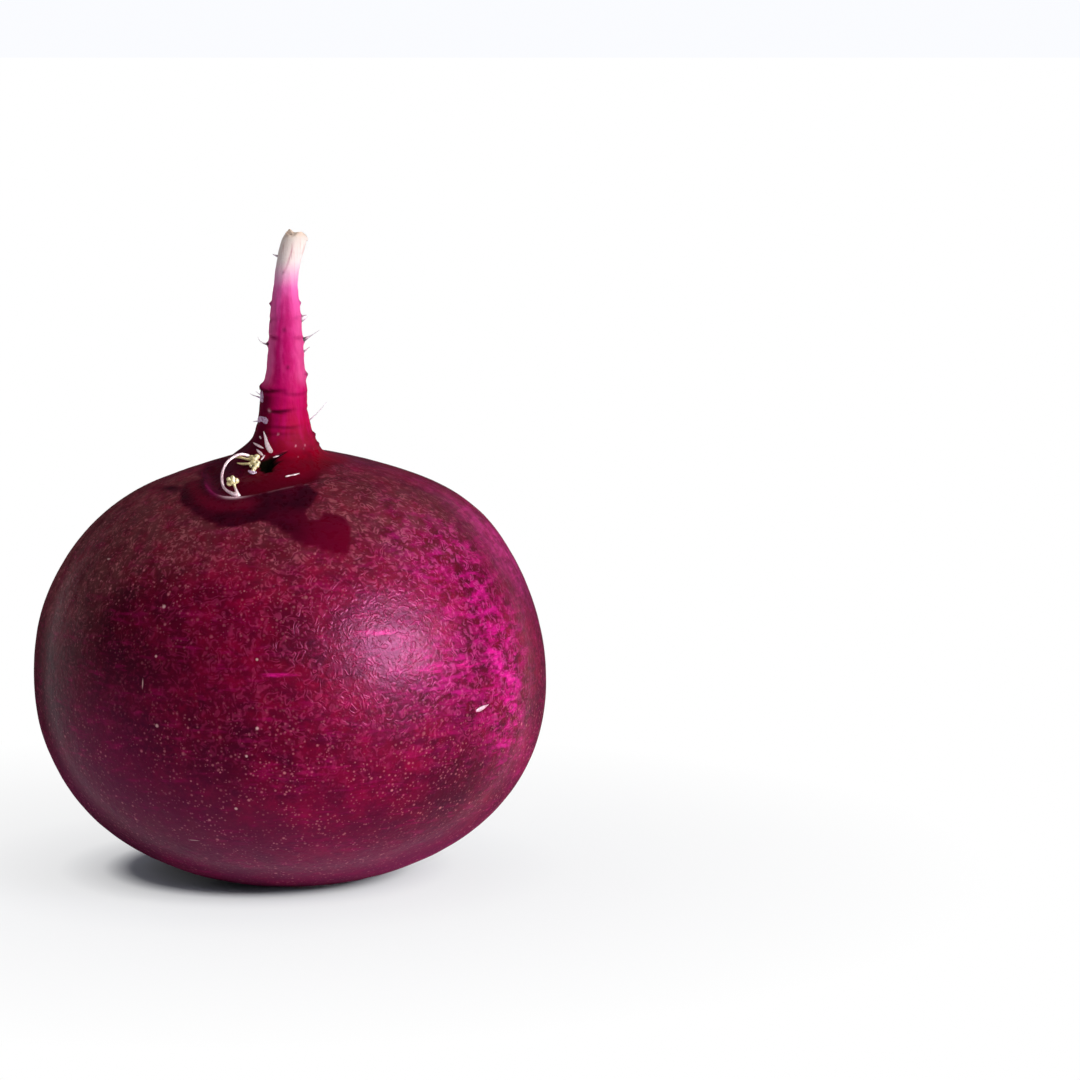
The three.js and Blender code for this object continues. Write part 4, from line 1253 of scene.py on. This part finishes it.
# %% Make the rootlets and the dry scraps
ROUND = (1.0, (0, -0.8, 0.6))
THREADS = {  # name: material, and the route and widths of each strand
    "curled_rootlet": (rootlet_material, [
        ([(-4.6, -11.6, 68.9), (-5.6, -11.6, 69.5), (-6.6, -12.2, 69.9), (-7.7, -13.3, 69.7),
          (-8.9, -14.6, 68.8), (-9.5, -16.2, 67.3), (-9.3, -18.0, 65.8), (-8.7, -19.4, 65.2),
          (-7.8, -20.4, 64.8), (-6.9, -20.9, 64.5)],
         [0.5, 0.5, 0.46, 0.44, 0.42, 0.42, 0.42, 0.44, 0.55, 0.8], *ROUND)]),
    "side_rootlet_1": (hair_material, [
        ([(2.2, -5.3, 87.0), (3.1, -5.4, 87.45), (4.1, -5.5, 88.0), (5.3, -5.7, 88.8)],
         [0.9, 0.56, 0.14, 0.05], *ROUND)]),
    "side_rootlet_2": (hair_material, [
        ([(-2.0, -5.5, 86.8), (-2.9, -5.7, 86.6), (-3.9, -6.0, 87.0), (-4.4, -6.2, 87.8)],
         [0.7, 0.36, 0.14, 0.05], *ROUND)]),
    "side_rootlet_3": (hair_material, [
        ([(2.4, -5.3, 85.2), (3.1, -5.4, 85.6), (3.8, -5.4, 86.2)], [0.6, 0.26, 0.06], *ROUND)]),
    "side_rootlet_4": (flake_material, [
        ([(3.4, -5.2, 74.3), (4.3, -5.2, 75.1), (5.3, -5.3, 76.1), (6.4, -5.3, 77.4)],
         [0.26, 0.12, 0.07, 0.03], *ROUND)]),
    "side_rootlet_5": (hair_material, [
        ([(1.7, -5.2, 90.2), (2.7, -5.2, 90.7), (3.3, -5.2, 91.1)], [1.0, 0.9, 0.3], *ROUND)]),
    "side_rootlet_6": (hair_material, [
        ([(-0.5, -4.6, 100.3), (-1.2, -4.6, 100.4), (-2.0, -4.7, 100.7)], [0.6, 0.4, 0.1], *ROUND)]),
}  # fmt: skip
UP_FRONT, LEFT_FRONT = (-0.2, -0.65, 0.7), (-0.65, -0.75, 0.1)
SCRAPS = {  # name: material, and the route, widths, flatness and facing of each blade
    "white_sliver": (sliver_material, [
        ([(-3.45, -8.75, 73.1), (-3.2, -9.15, 72.4), (-2.95, -9.8, 71.6), (-2.65, -10.65, 70.9),
          (-2.2, -11.4, 70.3), (-2.0, -11.7, 70.1)],
         [0.1, 0.34, 0.56, 0.76, 0.72, 0.34], 0.35, UP_FRONT),
        ([(-1.75, -12.35, 69.4), (-1.3, -12.2, 69.55), (-0.8, -12.1, 69.65)],
         [0.14, 0.3, 0.08], 0.5, UP_FRONT),
        ([(-4.1, -8.4, 72.3), (-3.95, -8.6, 72.1), (-3.85, -8.75, 71.9)], [0.1, 0.26, 0.1], 0.6, UP_FRONT)]),
    "pink_sliver": (sliver_material, [
        ([(-5.1, -8.5, 71.3), (-4.75, -9.05, 71.15), (-4.3, -9.7, 71.0), (-3.8, -10.25, 70.8),
          (-3.35, -10.65, 70.65)],
         [0.1, 0.3, 0.38, 0.34, 0.1], 0.5, UP_FRONT)]),
    "short_sliver_1": (sliver_material, [
        ([(-4.45, -10.4, 70.45), (-4.1, -11.0, 70.2), (-3.7, -11.6, 69.9), (-3.35, -12.0, 69.65)],
         [0.1, 0.4, 0.44, 0.2], 0.45, UP_FRONT)]),
    "short_sliver_2": (sliver_material, [
        ([(-3.65, -12.85, 69.05), (-3.4, -12.5, 69.35), (-3.05, -12.1, 69.75)],
         [0.16, 0.34, 0.1], 0.5, UP_FRONT)]),
    "lilac_flake": (flake_material, [
        ([(-5.5, -14.35, 67.6), (-5.1, -14.8, 67.45), (-4.7, -15.05, 67.35), (-4.2, -15.05, 67.45)],
         [0.25, 0.62, 0.66, 0.3], 0.4, UP_FRONT)]),
    "loose_fibre": (sliver_material, [
        ([(0.35, -16.1, 66.85), (0.75, -16.0, 66.95), (1.15, -15.8, 67.0)],
         [0.14, 0.32, 0.16], 0.7, UP_FRONT),
        ([(1.1, -15.85, 67.0), (1.8, -15.6, 67.1), (2.5, -15.05, 67.25)], [0.14, 0.3, 0.08], 0.7, UP_FRONT)]),
    "skin_chip": (chip_material, [
        ([(30.25, -27.85, 31.85), (30.7, -27.3, 31.95), (31.3, -26.6, 32.15), (31.75, -26.05, 32.3),
          (32.15, -25.6, 32.45)],
         [0.3, 0.66, 0.6, 0.32, 0.06], 0.4, (0.76, -0.65, 0))]),
    "skin_flake_1": (flake_material, [
        ([(-3.75, -6.6, 79.3), (-3.85, -6.75, 78.9), (-3.7, -7.05, 78.4), (-3.8, -7.0, 78.0),
          (-3.6, -7.3, 77.6)],
         [0.2, 0.7, 0.5, 0.8, 0.3], 0.15, LEFT_FRONT),
        ([(-3.8, -6.3, 78.1), (-4.6, -5.8, 78.3), (-5.3, -5.5, 78.5), (-5.75, -5.4, 78.75)],
         [0.4, 0.18, 0.1, 0.04], *ROUND),
        ([(-3.8, -6.3, 78.5), (-4.4, -5.8, 78.8), (-4.8, -5.6, 79.1)], [0.2, 0.1, 0.04], *ROUND)]),
    "skin_flake_2": (flake_material, [
        ([(-4.45, -6.3, 74.9), (-4.1, -7.0, 74.8), (-3.6, -7.75, 74.9), (-3.1, -8.35, 74.75),
          (-2.75, -8.75, 74.9)],
         [0.5, 1.1, 0.85, 1.15, 0.3], 0.14, LEFT_FRONT),
        ([(-4.2, -6.6, 74.45), (-4.7, -6.0, 74.4), (-5.3, -5.6, 74.3)], [0.3, 0.18, 0.05], *ROUND)]),
}  # fmt: skip
for slot, pieces in (("rootlet", THREADS), ("dry_skin", SCRAPS)):
    for name, (material, strands) in pieces.items():
        bm = bmesh.new()
        for strand in strands:
            add_strand(bm, *strand)
        finished(name + "_skin", as_mesh(bm, name), material, slot, name)
print("thin pieces:", len(THREADS) + len(SCRAPS))

# %% [markdown]
# ## The buds
# Two tiny buds grow at the pit. Each is a cluster of balls that a voxel remesh melts into one skin, as a
# sculptor would blend pellets of clay, and a light smoothing rounds the joins.

# %% Melt balls and strands into the buds
VOXEL = 0.06


def melted(name, balls, strands=()):
    """One smooth skin round overlapping balls, given as (middle, half sizes), and strands.

    Seam shade is painted where a second ball is about as near as the first, which is the seam between the
    two.
    """
    bm = bmesh.new()
    for middle, half in balls:
        shape = Matrix.Translation(middle) @ Matrix.Diagonal((*half, 1))
        bmesh.ops.create_icosphere(bm, subdivisions=3, radius=1, matrix=shape)
    for strand in strands:
        add_strand(bm, *strand)
    holder = bpy.data.objects.new("balls", as_mesh(bm, "balls"))
    bpy.context.scene.collection.objects.link(holder)
    remesh = holder.modifiers.new("melt", "REMESH")
    remesh.mode = "VOXEL"
    remesh.voxel_size = VOXEL
    relax = holder.modifiers.new("relax", "SMOOTH")
    relax.iterations = 2
    evaluated = holder.evaluated_get(bpy.context.evaluated_depsgraph_get())
    mesh = bpy.data.meshes.new_from_object(evaluated)
    bpy.data.objects.remove(holder)
    mesh.name = name
    mesh.shade_smooth()
    places = per_vertex(mesh, "co")
    away = [np.linalg.norm((places - np.array(middle)) / np.array(half), axis=1) for middle, half in balls]
    second = np.sort(away, axis=0)[1]
    store(mesh, "hollow", 1 - smooth(second, 0.95, 1.35))
    return mesh


# %% Place the balls of the two buds
LOWER_BUD = Vector((-7.7, -20.0, 66.65))
PETALS = [  # sideways, up, size
    (-0.5, 0.32, 0.36), (0.1, 0.5, 0.4), (0.66, 0.05, 0.46), (0.3, -0.4, 0.34), (-0.42, -0.36, 0.44),
]  # fmt: skip
lobes = [(LOWER_BUD + Vector((0.05, -0.3, 0)), (0.56, 0.4, 0.5))]
lobes += [(LOWER_BUD + Vector((x, -0.2, z)), (size, 0.34, size)) for x, z, size in PETALS]
stalks = [
    ([(-6.7, -20.8, 64.35), (-6.9, -20.8, 65.0), (-7.2, -20.5, 65.7), (-7.5, -20.1, 66.4)],
     [0.9, 0.5, 0.4, 0.45], *ROUND),
    ([(-8.0, -20.4, 64.7), (-7.5, -20.7, 64.85), (-7.0, -20.8, 64.95)], [0.3, 0.3, 0.3], *ROUND),
]  # fmt: skip
finished("lower_bud_skin", melted("lower_bud", lobes, stalks), bud_material, "bud", "lower_bud")

UPPER_LOBES = [
    ((-5.1, -12.0, 69.35), (0.5, 0.45, 0.42)), ((-4.3, -12.3, 69.5), (0.5, 0.45, 0.44)),
    ((-4.7, -12.7, 69.1), (0.6, 0.5, 0.5)), ((-4.75, -13.1, 68.7), (0.6, 0.5, 0.5)),
    ((-4.05, -13.3, 68.7), (0.38, 0.4, 0.36)), ((-4.3, -13.7, 68.3), (0.5, 0.4, 0.42)),
    ((-4.6, -14.2, 67.95), (0.4, 0.4, 0.4)), ((-4.75, -14.6, 67.65), (0.34, 0.3, 0.24)),
    ((-5.3, -13.0, 68.55), (0.36, 0.3, 0.3)), ((-5.2, -13.5, 68.2), (0.24, 0.24, 0.24)),
]  # fmt: skip
fingers = [
    ([(-7.8, -11.2, 69.25), (-7.1, -11.8, 69.4), (-6.1, -12.3, 69.2), (-5.2, -12.5, 69.1)],
     [0.26, 0.44, 0.4, 0.5], *ROUND),
    ([(-7.4, -12.2, 68.5), (-6.6, -12.8, 68.45), (-5.7, -13.2, 68.5), (-5.0, -13.2, 68.6)],
     [0.22, 0.4, 0.4, 0.5], *ROUND),
]  # fmt: skip
finished("upper_bud_skin", melted("upper_bud", UPPER_LOBES, fingers), bud_material, "bud", "upper_bud")
print("buds: 2")
